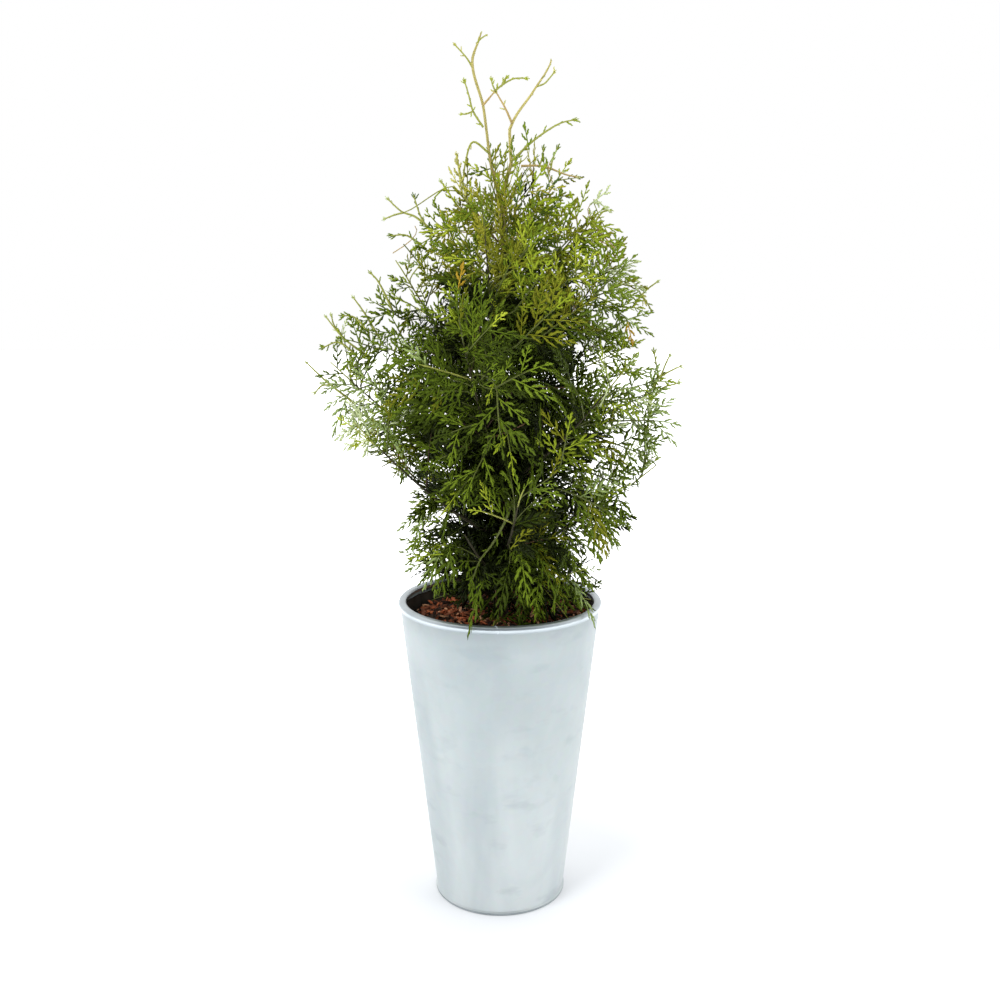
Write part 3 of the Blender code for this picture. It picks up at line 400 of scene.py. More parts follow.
# Drawn shoots at the leaders and the outline, by the mass that holds them: depth in millimetres, radius
# and length of the lobes in tenths of a millimetre, green, twig, then its points' x, z in millimetres
DRAWN_SHOOTS = {
    "skirt_1": (
        (-120, 15, 90, "green", "moss", 18, 682, 8, 651, -10, 617, -31, 588, -43, 556),
    ),
    "tip_left": (
        (-2, 10, 50, "straw", "shoot", -40, 1312, -50, 1327, -68, 1347),
        (-3, 8, 45, "straw", "shoot", -35, 1347, -27, 1353, -19, 1360),
        (-6, 11, 60, "lime", "shoot", -25, 1228, -40, 1251, -46, 1272, -53, 1295),
        (-8, 9, 55, "lime", "shoot", -40, 1251, -50, 1246, -59, 1246),
    ),
    "tip_middle": (
        (-4, 13, 60, "straw", "tan", 18, 1233, 7, 1256, -7, 1280),
        (-2, 12, 50, "straw", "tan", -25, 1259, -15, 1271, -7, 1280),
        (-2, 11, 65, "lime", "shoot", -7, 1280, 3, 1289, 20, 1296, 40, 1297),
        (-3, 9, 60, "lime", "shoot", -7, 1280, -11, 1288, -13, 1297),
        (-3, 9, 60, "lime", "shoot", 3, 1289, 6, 1295, 11, 1300),
    ),
    "tip_right": (
        (-6, 9, 50, "straw", "shoot", 55, 1286, 67, 1290, 81, 1306),
        (-10, 13, 75, "fresh", "shoot", 16, 1178, 50, 1208, 86, 1231, 112, 1238),
        (-12, 12, 60, "pale", "tan", 32, 1171, 65, 1172, 97, 1160, 118, 1155),
        (-14, 10, 80, "leaf", "shoot", 58, 1170, 63, 1183, 65, 1198),
        (-14, 10, 80, "leaf", "shoot", 76, 1166, 79, 1182, 86, 1198),
    ),
    "top_left": (
        (-10, 12, 60, "straw", "shoot", -16, 1190, -40, 1206, -51, 1180, -57, 1139),
        (-12, 12, 60, "straw", "shoot", -50, 1125, -58, 1155, -65, 1189),
        (-14, 12, 65, "pale", "shoot", -50, 1095, -70, 1122, -89, 1150),
    ),
    "high_3": (
        (-10, 13, 65, "pale", "shoot", -105, 1080, -128, 1098, -149, 1106, -170, 1125),
        (-12, 10, 60, "pale", "shoot", -145, 1104, -160, 1100, -176, 1094),
        (-20, 12, 75, "blue", "shoot", -100, 1070, -118, 1095, -130, 1129),
    ),
    "upper_1": (
        (-10, 12, 85, "leaf", "shoot", -112, 1050, -140, 1070, -165, 1070),
        (-15, 12, 65, "fresh", "shoot", -165, 960, -184, 1000, -198, 1016),
        (-10, 12, 60, "pale", "shoot", -185, 915, -208, 954, -226, 979),
        (-20, 10, 80, "leaf", "shoot", -200, 925, -222, 948, -241, 951),
        (-4, 13, 50, "pale", "shoot", -205, 888, -230, 907, -248, 924, -270, 950),
        (-6, 9, 55, "pale", "shoot", -246, 922, -256, 936, -261, 953),
        (-14, 11, 80, "leaf", "shoot", -222, 890, -248, 910, -273, 902),
    ),
    "middle_4": (
        (-6, 14, 45, "pale", "shoot", -225, 815, -261, 842, -281, 859, -301, 880),
        (-8, 10, 55, "pale", "shoot", -262, 844, -277, 843, -288, 831),
    ),
    "middle_1": (
        (-10, 14, 85, "fresh", "shoot", 232, 800, 236, 828, 245, 859, 238, 896),
        (-12, 11, 60, "pale", "shoot", 236, 840, 249, 859, 258, 879, 264, 891),
        (-14, 10, 55, "pale", "shoot", 245, 854, 262, 866, 281, 874),
        (-10, 12, 65, "pale", "shoot", 232, 815, 252, 838, 280, 847),
    ),
    "upper_5": (
        (-4, 11, 55, "pale", "shoot", 205, 965, 224, 988, 243, 1003),
        (-6, 10, 60, "leaf", "shoot", 215, 985, 224, 974, 233, 957),
    ),
    "high_1": (
        (-10, 11, 65, "fresh", "shoot", 140, 1085, 155, 1105, 168, 1107),
    ),
}
FACE_SIDE = np.array((0.0, -1.0, 0.2))

# ------------------------------------------------------------------ finishes


def linear(red, green, blue):
    """A display colour of 0 to 255 as the linear colour that a shader takes."""
    values = [channel / 255 for channel in (red, green, blue)]
    return [v / 12.92 if v <= 0.04045 else ((v + 0.055) / 1.055) ** 2.4 for v in values] + [1.0]


def set_inputs(tree, made, inputs):
    """Sets a node's inputs: another node's output is linked, anything else is a plain value."""
    for name, value in inputs.items():
        socket = made.inputs[name.replace("_", " ")]
        if isinstance(value, bpy.types.NodeSocket):
            tree.links.new(value, socket)
        else:
            socket.default_value = value


def add_node(tree, kind, out, settings=(), **inputs):
    """Adds a node with its settings and inputs, and gives one of its outputs."""
    made = tree.nodes.new("ShaderNode" + kind)
    for name, value in dict(settings).items():
        setattr(made, name, value)
    set_inputs(tree, made, inputs)
    return made.outputs[out]


def add_ramp(tree, value, stops):
    """A ramp through stops of (place, linear colour)."""
    colour = add_node(tree, "ValToRGB", "Color", Fac=value)
    points = colour.node.color_ramp.elements
    while len(points) < len(stops):
        points.new(0.5)
    for point, (place, shade) in zip(points, stops):
        point.position = place
        point.color = shade
    return colour


class Finish:
    """A material under construction, with short ways to add its nodes."""

    def __init__(self, name, roughness=0.5, metallic=0.0):
        self.material = bpy.data.materials.new(name)
        self.material.use_nodes = True
        self.tree = self.material.node_tree
        self.place = self.node("TexCoord", "Object")
        self.set(Roughness=roughness, Metallic=metallic)

    def node(self, kind, out, settings=(), **inputs):
        return add_node(self.tree, kind, out, settings, **inputs)

    def set(self, **inputs):
        set_inputs(self.tree, self.tree.nodes["Principled BSDF"], inputs)

    def stretched(self, scale):
        return self.node("Mapping", "Vector", Scale=scale, Vector=self.place)

    def noise(self, scale, detail=3.0, roughness=0.5, stretch=None, distortion=0.0):
        rule = {"Scale": scale, "Detail": detail, "Roughness": roughness, "Distortion": distortion}
        return self.node("TexNoise", "Fac", Vector=self.stretched(stretch) if stretch else self.place, **rule)

    def cells(self, scale, output="Distance"):
        return self.node("TexVoronoi", output, Scale=scale, Vector=self.place)

    def height(self):
        return self.node("SeparateXYZ", "Z", Vector=self.place)

    def away(self, place):
        """How far a place is from the origin."""
        return self.node("VectorMath", "Value", {"operation": "LENGTH"}, Vector=place)

    def ramp(self, value, *stops):
        return add_ramp(self.tree, value, [(place, linear(*colour)) for place, colour in stops])

    def range(self, value, low, high, from_low=0.3, from_high=0.7):
        return self.node(
            "MapRange", "Result", Value=value, From_Min=from_low, From_Max=from_high, To_Min=low, To_Max=high
        )

    def mix(self, share, first, second, blend="MIX"):
        settings = {"data_type": "RGBA", "blend_type": blend}
        return self.node("Mix", "Result", settings, Factor=share, A=first, B=second)

    def bump(self, value, depth, strength=1.0):
        self.set(Normal=self.node("Bump", "Normal", Height=value, Distance=depth, Strength=strength))


def zinc_finish(name="zinc_sheet"):
    """Weathered galvanised sheet: soft upright bands, clouds and smudges, faintly spangled, matte; with
    painted light and shade by height, near-white low down and darker towards the top.
    """
    pale, deep = (203, 210, 209), (174, 184, 186)
    made = Finish(name, 0.45, 0.55)
    bands = made.noise(1.0, 3.0, 0.45, (11.0, 11.0, 1.8), 0.5)
    clouds = made.noise(9.0, 4.0, 0.55, (1.0, 1.0, 0.7), 0.8)
    smudges = made.noise(1.0, 3.0, 0.5, (15.0, 15.0, 34.0))
    tone = made.ramp(bands, (0.38, deep), (0.60, pale))
    tone = made.mix(0.28, tone, made.ramp(clouds, (0.36, deep), (0.62, pale)))
    # Painted light and shade by height: the wall darkens upwards from the foot and stays lighter low down
    tone = made.mix(made.range(made.height(), 0.0, 0.80, 0.04, 0.42), tone, linear(164, 173, 175))
    # Painted light: the lower wall turns near-white towards the foot
    tone = made.mix(made.range(made.height(), 0.30, 0.0, 0.0, 0.32), tone, linear(244, 249, 250))
    tone = made.mix(made.range(smudges, 0.0, 0.22, 0.58, 0.72), tone, linear(140, 152, 158))
    tone = made.mix(0.03, tone, made.cells(95.0, "Color"), "SOFT_LIGHT")
    made.set(Base_Color=tone, Roughness=made.range(clouds, 0.52, 0.38))
    made.bump(made.noise(60.0, 3.0), 0.0006, 0.08)
    return made.material


def plain_zinc(name, dark, light, roughness):
    """Plain sheet, for the rim that is handled, its lap, whose lighter colour is a painted highlight, and the
    foot, whose darker colour is painted shade.
    """
    made = Finish(name, roughness, 0.9)
    gloss = made.range(made.noise(22.0, 1.0), roughness - 0.02, roughness + 0.05)
    made.set(Base_Color=made.ramp(made.noise(14.0, 2.0, 0.4), (0.34, dark), (0.66, light)), Roughness=gloss)
    return made.material


def plastic_finish():
    made = Finish("black_nursery_plastic", 0.55)
    tone = made.ramp(made.noise(40.0, 4.0), (0.3, (66, 65, 60)), (0.7, (100, 97, 90)))
    made.set(Base_Color=tone, Roughness=made.range(made.noise(90.0), 0.45, 0.7))
    made.bump(made.noise(500.0, 2.0), 0.0003, 0.4)
    return made.material


def soil_finish():
    made = Finish("potting_soil", 0.95)
    stops = (0.3, (26, 18, 12)), (0.55, (52, 37, 26)), (0.75, (84, 62, 44))
    made.set(Base_Color=made.ramp(made.noise(160.0, 6.0), *stops))
    made.bump(made.noise(220.0, 6.0), 0.003)
    return made.material


def chip_finish(name, dark, light):
    """Pine bark: plates with a fibrous, rusty inside."""
    made = Finish(name, 0.85)
    fibre = made.noise(120.0, 5.0, 0.65, (1.0, 3.0, 1.0))
    made.set(Base_Color=made.ramp(fibre, (0.30, dark), (0.68, light)))
    made.bump(made.noise(320.0, 5.0, 0.6), 0.0012, 0.8)
    return made.material


def bark_finish():
    """Stringy bark: brown on the trunk, greener out along the boughs, tan and thin at the leaders; the dark
    browns of the trunk and the boughs are partly painted shade of the crown's inside.
    """
    made = Finish("thuja_bark", 0.85)
    place, made.place = made.place, made.node("UVMap", "UV")
    strings = made.noise(1.0, 5.0, 0.6, (900.0, 60.0, 1.0), 0.4)
    plates = made.noise(1.0, 3.0, 0.5, (240.0, 30.0, 1.0))
    # Trunk bark, kept dark as partly painted shade inside the crown
    old = made.ramp(strings, (0.28, (34, 26, 20)), (0.5, (60, 46, 35)), (0.72, (100, 80, 62)))
    old = made.mix(made.range(plates, 0.0, 0.25), old, linear(84, 54, 40))
    young = made.ramp(strings, (0.3, (142, 130, 66)), (0.7, (198, 188, 118)))
    # Painted shade and bark colour: the boughs' dark olive stands for their own bark and for the shade inside
    # the crown
    outer = made.ramp(strings, (0.3, (34, 31, 16)), (0.7, (60, 54, 28)))
    made.place = place
    away = made.away(made.stretched((1.0, 1.0, 0.0)))
    skin_and_shade = made.mix(made.range(away, 0.0, 1.0, 0.016, 0.05), old, outer)
    made.set(Base_Color=made.mix(made.range(made.height(), 0.0, 1.0, 1.06, 1.20), skin_and_shade, young))
    made.bump(strings, 0.0012, 0.8)
    return made.material


def twig_finish(name, colour):
    made = Finish(name, 0.7)
    made.set(Base_Color=linear(*colour))
    made.bump(made.noise(700.0, 3.0), 0.0004, 0.6)
    return made.material


def leaf_finish(name, colour):
    """Overlapping scale leaves: one plain green with a fine relief and a soft waxy gloss."""
    made = Finish(name, 0.55)
    gloss = made.range(made.noise(300.0, 2.0), 0.48, 0.66)
    made.set(Base_Color=linear(*colour), Roughness=gloss, Specular_IOR_Level=0.12)
    made.bump(made.cells(620.0), 0.0005, 0.7)
    return made.material


# ------------------------------------------------------------------ meshes and directions


def joined_mesh(name, points, faces, finishes, slots=None, uvs=None, smooth=True):
    """One object from arrays of points and triangles, with a material slot for each face."""
    mesh = bpy.data.meshes.new(name)
    mesh.vertices.add(len(points))
    mesh.vertices.foreach_set("co", np.asarray(points, dtype=np.float32).ravel())
    mesh.loops.add(faces.size)
    mesh.loops.foreach_set("vertex_index", faces.astype(np.int32).ravel())
    mesh.polygons.add(len(faces))
    mesh.polygons.foreach_set("loop_start", np.arange(0, faces.size, 3, dtype=np.int32))
    for finish in finishes:
        mesh.materials.append(finish)
    if slots is not None:
        mesh.polygons.foreach_set("material_index", slots.astype(np.int32))
    mesh.polygons.foreach_set("use_smooth", np.full(len(faces), smooth))
    if uvs is not None:
        mesh.uv_layers.new(name="UVMap").data.foreach_set("uv", uvs.astype(np.float32).ravel())
    mesh.update(calc_edges=True)
    mesh.validate()
    thing = bpy.data.objects.new(name, mesh)
    bpy.context.scene.collection.objects.link(thing)
    return thing


def stacked(parts):
    """Joins parts of (points, faces, more), whose faces count on from the points before them."""
    points, faces, *more = zip(*parts)
    firsts = np.cumsum([0] + [len(piece) for piece in points[:-1]])
    faces = [made + first for made, first in zip(faces, firsts)]
    return np.vstack(points), np.vstack(faces), *map(np.concatenate, more)


def normalised(vectors):
    return vectors / np.maximum(np.linalg.norm(vectors, axis=-1, keepdims=True), 1e-9)


def level_way(azimuth):
    return np.array((cos(azimuth), sin(azimuth), 0.0))


def side_vectors(along):
    """Two directions square to a limb, the first of them level."""
    level = np.cross(UP, along)
    if np.linalg.norm(level) < 0.05:
        level = np.array((1.0, 0.0, 0.0))
    level = normalised(level)
    return level, normalised(np.cross(along, level))


def around(along, turn):
    """A direction square to a limb, turned round it."""
    level, up = side_vectors(along)
    return level * cos(turn) + up * sin(turn)


def branch_direction(along, roll, angle):
    return normalised(along * cos(angle) + around(along, roll) * sin(angle))


def select(thing=None):
    """Leaves edit mode and selects one piece, or nothing."""
    if bpy.context.object and bpy.context.object.mode != "OBJECT":
        bpy.ops.object.mode_set(mode="OBJECT")
    bpy.ops.object.select_all(action="DESELECT")
    if thing:
        thing.select_set(True)
        bpy.context.view_layer.objects.active = thing


def end_edit():
    """Turns the faces outwards and leaves edit mode."""
    bpy.ops.mesh.select_all(action="SELECT")
    bpy.ops.mesh.normals_make_consistent(inside=False)
    bpy.ops.object.mode_set(mode="OBJECT")


def settle(thing):
    """Puts a piece's place into its mesh."""
    select(thing)
    bpy.ops.object.transform_apply(location=True, rotation=True, scale=True)


def shade(thing, angle):
    select(thing)
    bpy.ops.object.shade_smooth_by_angle(angle=radians(angle))


def ringed(name, rings, steps):
    """A turned shape drawn as by hand: a circle whose edge is extruded and scaled, ring by ring."""
    select()
    radius, height = rings[0]
    bpy.ops.mesh.primitive_circle_add(vertices=steps, radius=radius, location=(0, 0, height))
    thing = bpy.context.object
    thing.name = thing.data.name = name
    bpy.ops.object.mode_set(mode="EDIT")
    bpy.ops.mesh.select_mode(type="EDGE")
    bpy.ops.mesh.select_all(action="SELECT")
    for next_radius, next_height in rings[1:]:
        bpy.ops.mesh.extrude_edges_move(TRANSFORM_OT_translate={"value": (0, 0, next_height - height)})
        share = next_radius / radius
        bpy.ops.transform.resize(value=(share, share, 1), center_override=(0, 0, next_height))
        radius, height = next_radius, next_height
    bpy.ops.mesh.select_all(action="SELECT")
    bpy.ops.mesh.remove_doubles(threshold=0.00002)
    end_edit()
    settle(thing)
    return thing


def add_finishes(thing, *finishes):
    for finish in finishes:
        thing.data.materials.append(finish)


# ------------------------------------------------------------------ planter, by extruding rings


def wall_radius(height):
    """Outside of the planter's straight wall."""
    top_radius, top_height = RIM_RADIUS + RIM_PROFILE[0][0], POT_HEIGHT + RIM_PROFILE[0][1]
    foot_top = FOOT_HEIGHT + FOOT_STEP
    share = (height - foot_top) / (top_height - foot_top)
    return FOOT_RADIUS - FOOT_STEP + share * (top_radius - FOOT_RADIUS + FOOT_STEP)


def make_planter():
    """The tapered shell with its crimped foot hoop and its rolled rim."""
    foot_wall = FOOT_RADIUS - FOOT_STEP
    foot, top = FOOT_HEIGHT + FOOT_STEP, POT_HEIGHT + RIM_PROFILE[0][1]
    rings = [(FOOT_RADIUS - inwards, up) for inwards, up in FOOT_PROFILE]
    rings += [(foot_wall + 0.0002, FOOT_HEIGHT + 0.6 * FOOT_STEP), (foot_wall, foot)]
    heights = [foot + (top - foot) * k / 12 for k in range(1, 12)]
    rings += [(wall_radius(height), height) for height in heights]
    rings += [(RIM_RADIUS + across, POT_HEIGHT + up) for across, up in RIM_PROFILE]
    shell = ringed("zinc_shell", rings, POT_STEPS)
    select(shell)
    sheet = shell.modifiers.new("sheet", "SOLIDIFY")
    sheet.thickness, sheet.offset, sheet.use_even_offset = SHEET, -1.0, True
    bpy.ops.object.modifier_apply(modifier=sheet.name)
    shade(shell, 50.0)
    rim = plain_zinc("zinc_rim", (180, 189, 193), (199, 207, 211), 0.32)
    # Painted shade: the foot hoop is darker for the shadow line along the planter's base
    hoop = plain_zinc("zinc_foot", (166, 174, 177), (192, 199, 201), 0.50)
    add_finishes(shell, zinc_finish(), rim, hoop)
    for face in shell.data.polygons:
        height = face.center.z
        face.material_index = 1 if height > POT_HEIGHT - RIM_DEPTH else 2 if height < HOOP_TOP else 0
    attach(shell, "root")
    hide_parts("pot_shell")


def make_rim_lap():
    """The slanting lap where the two ends of the rolled rim meet, on the face side."""
    azimuth = radians(LAP_AZIMUTH)
    away = RIM_RADIUS - LAP_RING
    place = (away * cos(azimuth), away * sin(azimuth), POT_HEIGHT - LAP_MIDDLE)
    select()
    bpy.ops.mesh.primitive_torus_add(
        location=place, rotation=(radians(90), 0.0, azimuth + radians(LAP_SLANT)),
        major_segments=40, minor_segments=8, major_radius=LAP_RING, minor_radius=LAP_TUBE,
    )
    lap = bpy.context.object
    lap.name = "rim_lap"
    settle(lap)
    bpy.ops.object.mode_set(mode="EDIT")
    bpy.ops.mesh.select_all(action="SELECT")
    low = (0.0, 0.0, POT_HEIGHT - LAP_CUT)
    bpy.ops.mesh.bisect(plane_co=low, plane_no=(0.0, 0.0, 1.0), use_fill=True, clear_inner=True)
    end_edit()
    shade(lap, 50.0)
    lap.data.materials.clear()
    # Painted highlight: the lap is lighter than the rim so that it shows as a bright slanting mark
    add_finishes(lap, plain_zinc("zinc_lap", (206, 214, 218), (226, 232, 235), 0.50))
    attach(lap, "root")


# ------------------------------------------------------------------ bark over the soil


def random_turn(tilt):
    """A rotation matrix: any way round, tilted from level by up to the angle."""
    spin, lean, azimuth = [draw(0, most) for most in (2 * pi, tilt, 2 * pi)]
    cs, ss = cos(spin), sin(spin)
    axis = level_way(azimuth)
    cross = np.array(((0, 0, axis[1]), (0, 0, -axis[0]), (-axis[1], axis[0], 0)))
    tilted = np.eye(3) + sin(lean) * cross + (1 - cos(lean)) * cross @ cross
    return tilted @ np.array(((cs, -ss, 0), (ss, cs, 0), (0, 0, 1)))


def make_bark_bed(edge):
    """A lumpy bed of soil that shows between the chips."""
    level = SOIL_LEVEL - 0.0035
    rings = [(edge, SOIL_LEVEL - 0.0132), (edge + 0.0005, SOIL_LEVEL - 0.0045)]
    rings += [(edge * share, level) for share in BED_SHARES] + [(0.001, level)]
    bed = ringed("bark_bed", rings, 96)
    for point in bed.data.vertices:
        if point.co.z > SOIL_LEVEL - 0.004:
            place = Vector((point.co.x, point.co.y, 0.0))
            point.co.z += 0.0028 * noise.noise(place * 60.0) + 0.0014 * noise.noise(place * 170.0)
    select(bed)
    bpy.ops.object.mode_set(mode="EDIT")
    bpy.ops.mesh.select_mode(type="EDGE")
    bpy.ops.mesh.select_all(action="DESELECT")
    bpy.ops.mesh.select_non_manifold()
    bpy.ops.mesh.fill()
    end_edit()
    shade(bed, 60.0)
    add_finishes(bed, soil_finish())
    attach(bed, "root")


def bark_chip(away, angle, size):
    """Points, faces and slots of one chip: a flat prism with 5 to 7 uneven corners."""
    corners = chance.choice((5, 6, 7))
    width = size * draw(0.20, 0.42)
    thick = size * draw(0.08, 0.16)
    turn = random_turn(0.75)
    height = SOIL_LEVEL - draw(0.0005, 0.0035)
    middle = np.array((away * cos(angle), away * sin(angle), height))
    points = []
    for layer in (0.5, -0.5):
        for k in range(corners):
            a = 2 * pi * k / corners
            grow = draw(0.78, 1.12) * (0.92 if layer > 0 else 1.0)
            x, y = 0.5 * size * cos(a) * grow, 0.5 * width * sin(a) * grow
            z = layer * thick + 0.12 * size * draw(-1, 1) * cos(a)
            points.append(middle + turn @ np.array((x, y, z)))
    slot = chance.choices(range(4), CHIP_SHARES)[0]
    faces = [(0, k, k + 1) for k in range(1, corners - 1)]
    faces += [(corners, corners + k + 1, corners + k) for k in range(1, corners - 1)]
    for a in range(corners):
        b = (a + 1) % corners
        faces += [(a, a + corners, b + corners), (a, b + corners, b)]
    return np.array(points), np.array(faces), np.full(len(faces), slot)


def make_bark_chips():
    """Bark chips, dealt over the soil by a seeded rule, over a lumpy bed."""
    chance.seed(SEED + 500)
    edge = LINER_INSIDE - 0.004
    make_bark_bed(edge)
    finishes = [
        chip_finish("bark_chip_rust", (128, 64, 38), (190, 108, 70)),
        chip_finish("bark_chip_brown", (92, 52, 35), (140, 86, 60)),
        chip_finish("bark_chip_dark", (30, 20, 15), (58, 38, 28)),
        chip_finish("bark_chip_pale", (176, 118, 80), (236, 186, 146)),
    ]
    chips = []
    for _ in range(CHIP_COUNT):
        away = edge * sqrt(draw(0.012, 1.0))
        angle = draw(0.0, 2 * pi)
        size = draw(0.010, 0.025) * (0.8 if away > 0.9 * edge else 1.0)
        if away + 0.45 * size <= edge + 0.001 and away >= 0.016:
            chips.append(bark_chip(away, angle, size))
    points, faces, slots = stacked(chips)
    layer = joined_mesh("bark_chips", points, faces, finishes, slots, smooth=False)
    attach(layer, "root")
    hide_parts("bark_mulch")


# ------------------------------------------------------------------ limbs


def spline(a, b, c, d, u):
    """A smooth curve from b (0) to c (1), with the points before and after them."""
    return 0.5 * (2 * b + (c - a) * u + (2 * a - 5 * b + 4 * c - d) * u**2 + (3 * b - a - 3 * c + d) * u**3)


def smooth_line(line, height):
    """A point on the smooth curve through a centre line of (height, x, y) points."""
    heights = [knot[0] for knot in line]
    last = len(line) - 2
    i = min(max(int(np.searchsorted(heights, height)) - 1, 0), last)
    knots = [np.array(line[min(max(k, 0), last + 1)][1:]) for k in range(i - 1, i + 3)]
    x, y = spline(*knots, (height - heights[i]) / (heights[i + 1] - heights[i]))
    return np.array((x, y, height))


def smooth_path(knots, steps=5):
    """A smooth curve through drawn points."""
    knots = np.array(knots, dtype=float)
    ends = np.vstack((2 * knots[0] - knots[1], knots, 2 * knots[-1] - knots[-2]))
    path = [knots[0]]
    for i in range(1, len(ends) - 2):
        path += [spline(*ends[i - 1:i + 3], u) for u in np.linspace(0, 1, steps + 1)[1:]]
    return np.array(path)


def runs_along(path):
    """How far along a path each of its points is."""
    return np.concatenate(([0.0], np.cumsum(np.linalg.norm(np.diff(path, axis=0), axis=1))))


def trunk_radius(height):
    share = (height - SOIL_LEVEL) / (TRUNK_TOP - SOIL_LEVEL)
    taper = TRUNK_TIP + (TRUNK_RADIUS - TRUNK_TIP) * max(1 - share, 0.0) ** TRUNK_TAPER
    return taper + TRUNK_FLARE * exp(-(height - SOIL_LEVEL) / TRUNK_FLARE_HEIGHT)


def tube(centres, radii, sides, relief=0.0, seed=0):
    """Points, triangles and UVs in metres of a limb with closed ends, carried along without a twist."""
    centres = np.asarray(centres)
    along = normalised(np.gradient(centres, axis=0))
    level = side_vectors(along[0])[0]
    runs = runs_along(centres)
    points = []
    for centre, ahead, radius, run in zip(centres, along, radii, runs):
        level = normalised(level - ahead * np.dot(level, ahead))
        up = np.cross(ahead, level)
        for k in range(sides):
            x, y = cos(2 * pi * k / sides), sin(2 * pi * k / sides)
            lumps = noise.noise(Vector((x * 2.2, y * 2.2, run * 26.0 + seed))) * 0.10
            strings = noise.noise(Vector((x * 7.0, y * 7.0, run * 38.0 + seed))) * 0.13
            points.append(centre + (level * x + up * y) * (radius * (1 + relief * (lumps + strings))))
    girth = 2 * pi * radii[0] / sides
    row, column = np.mgrid[:len(centres) - 1, :sides].reshape(2, -1)
    faces, uvs = [], []
    for cut in (((0, 0), (0, 1), (1, 1)), ((0, 0), (1, 1), (1, 0))):
        rows = np.stack([row + up for up, _ in cut], axis=1)
        columns = np.stack([column + right for _, right in cut], axis=1)
        faces.append(rows * sides + columns % sides)
        uvs.append(np.stack((columns * girth, runs[rows]), axis=2).reshape(-1, 2))
    first, last = len(points), len(points) - sides
    ends = [(first, (k + 1) % sides, k) for k in range(sides)]
    ends += [(first + 1, last + k, last + (k + 1) % sides) for k in range(sides)]
    points += [np.mean(points[:sides], axis=0), np.mean(points[-sides:], axis=0)]
    return np.array(points), np.vstack((*faces, ends)), np.vstack((*uvs, np.zeros((len(ends) * 3, 2))))


def joined_limbs(name, limbs, finish):
    """One bark piece from several limbs of (centres, radii, sides, relief)."""
    points, faces, uvs = stacked([tube(*limb, 7.3 * seed) for seed, limb in enumerate(limbs)])
    thing = joined_mesh(name, points, faces, [finish], uvs=uvs)
    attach(thing, "root")
    return thing


# ------------------------------------------------------------------ the crown's space and the boughs' ways


def crown_reach(azimuth, height, reach):
    """How far the crown stands from the axis in this direction at this height."""
    heights, *sides = reach
    right, left, face, rear = [np.interp(height, heights, side) for side in sides]
    across = np.where(np.cos(azimuth) > 0, right, left)
    deep = np.where(np.sin(azimuth) > 0, rear, face)
    return np.hypot(across * np.cos(azimuth), deep * np.sin(azimuth))


def past_outline(points, slack=OUTLINE_SLACK):
    azimuth = np.arctan2(points[..., 1], points[..., 0])
    reach = crown_reach(azimuth, points[..., 2], TWIG_REACH) + slack
    return np.hypot(points[..., 0], points[..., 1]) > reach


def reach_share(point):
    """How far out a point is, as a share of the crown's reach there."""
    azimuth = atan2(point[1], point[0])
    return hypot(point[0], point[1]) / max(float(crown_reach(azimuth, point[2], TWIG_REACH)), 0.05)


def in_planter(points):
    """Points that would be in the planter's wall or rim, or in the bark, or under the rim outside."""
    radius = np.hypot(points[..., 0], points[..., 1])
    height = points[..., 2]
    wall = (height < POT_HEIGHT + 0.003) & (radius > LINER_INSIDE - 0.002) & (radius < RIM_RADIUS + 0.002)
    return wall | ((height < SOIL_LEVEL + 0.002) & (radius < RIM_RADIUS))


def in_gap(points):
    """Points in the places that stay open: a hollow in the face, and over the bark on the left."""
    x, y, z = points[..., 0], points[..., 1], points[..., 2]
    hollow = (np.hypot(x + 0.026, z - 0.630) < 0.041) & (y < -0.060)
    mouth = (x < np.where(y < -0.130, -0.062, -0.035)) & (y < -0.010) & (z < 0.532 - 0.16 * (x + 0.16))
    mouth |= (x < -0.112) & (y < 0.035) & (z < 0.528)
    return hollow | mouth


class Way:
    """The curve that a bough and its mass follow, from the trunk (0) to the crown's outline (1)."""

    def __init__(self, name, foot, outward, tip):
        self.name = name
        self.tier = name.split("_")[0]
        self.foot = foot
        self.outward = outward
        self.tip = tip
        self.length = np.linalg.norm(tip - foot)

    def at(self, share):
        run = self.tip - self.foot
        flat = np.array((run[0], run[1], 0.0)) * share
        return self.foot + flat + UP * run[2] * max(share, 0.0) ** RISE_POWER

    def along(self, share):
        return normalised(self.at(share + 0.01) - self.at(share - 0.01))


def bough_ways():
    """One way for each bough, tier by tier, by the seeded rule of the limbs' own source."""
    chance.seed(SEED + 1)
    ways = []
    for tier, count, first, root, tip in TIERS:
        for k in range(count):
            azimuth = radians(first + 360 * k / count + draw(-SWAY, SWAY))
            stagger = STAGGER[k % 2] * (SKIRT_STAGGER if tier == "skirt" else 1.0)
            root_height = root + ROOT_STAGGER * stagger
            tip_height = tip + stagger + draw(-LIFT, LIFT)
            outward = level_way(azimuth)
            foot = smooth_line(TRUNK_LINE, root_height) + outward * trunk_radius(root_height)
            reach = float(crown_reach(azimuth, tip_height, BOUGH_REACH))
            end = np.array((reach * cos(azimuth), reach * sin(azimuth), tip_height))
            ways.append(Way(f"{tier}_{k + 1}", foot, outward, end))
    return ways


def top_ways():
    ways = []
    for name, limb, root, azimuth, reach, rise in TOP_MASSES:
        outward = level_way(radians(azimuth))
        foot = smooth_line(CENTRE_LINES[limb], root) + outward * 0.0015
        ways.append(Way(name, foot, outward, foot + outward * reach + UP * rise))
    return ways


def nearest_way(ways, point, shares):
    """The way of which one of these shares is nearest to a point."""
    return min(ways, key=lambda way: min(np.linalg.norm(way.at(share) - point) for share in shares))


def twig_start(way, point):
    """The share of a way from which a twig to a point leaves it: a little below the nearest."""
    shares = np.linspace(0.08, 0.85, 36)
    away = [np.linalg.norm(way.at(share) - point) for share in shares]
    return max(0.05, shares[int(np.argmin(away))] - 0.08)


# ------------------------------------------------------------------ fronds


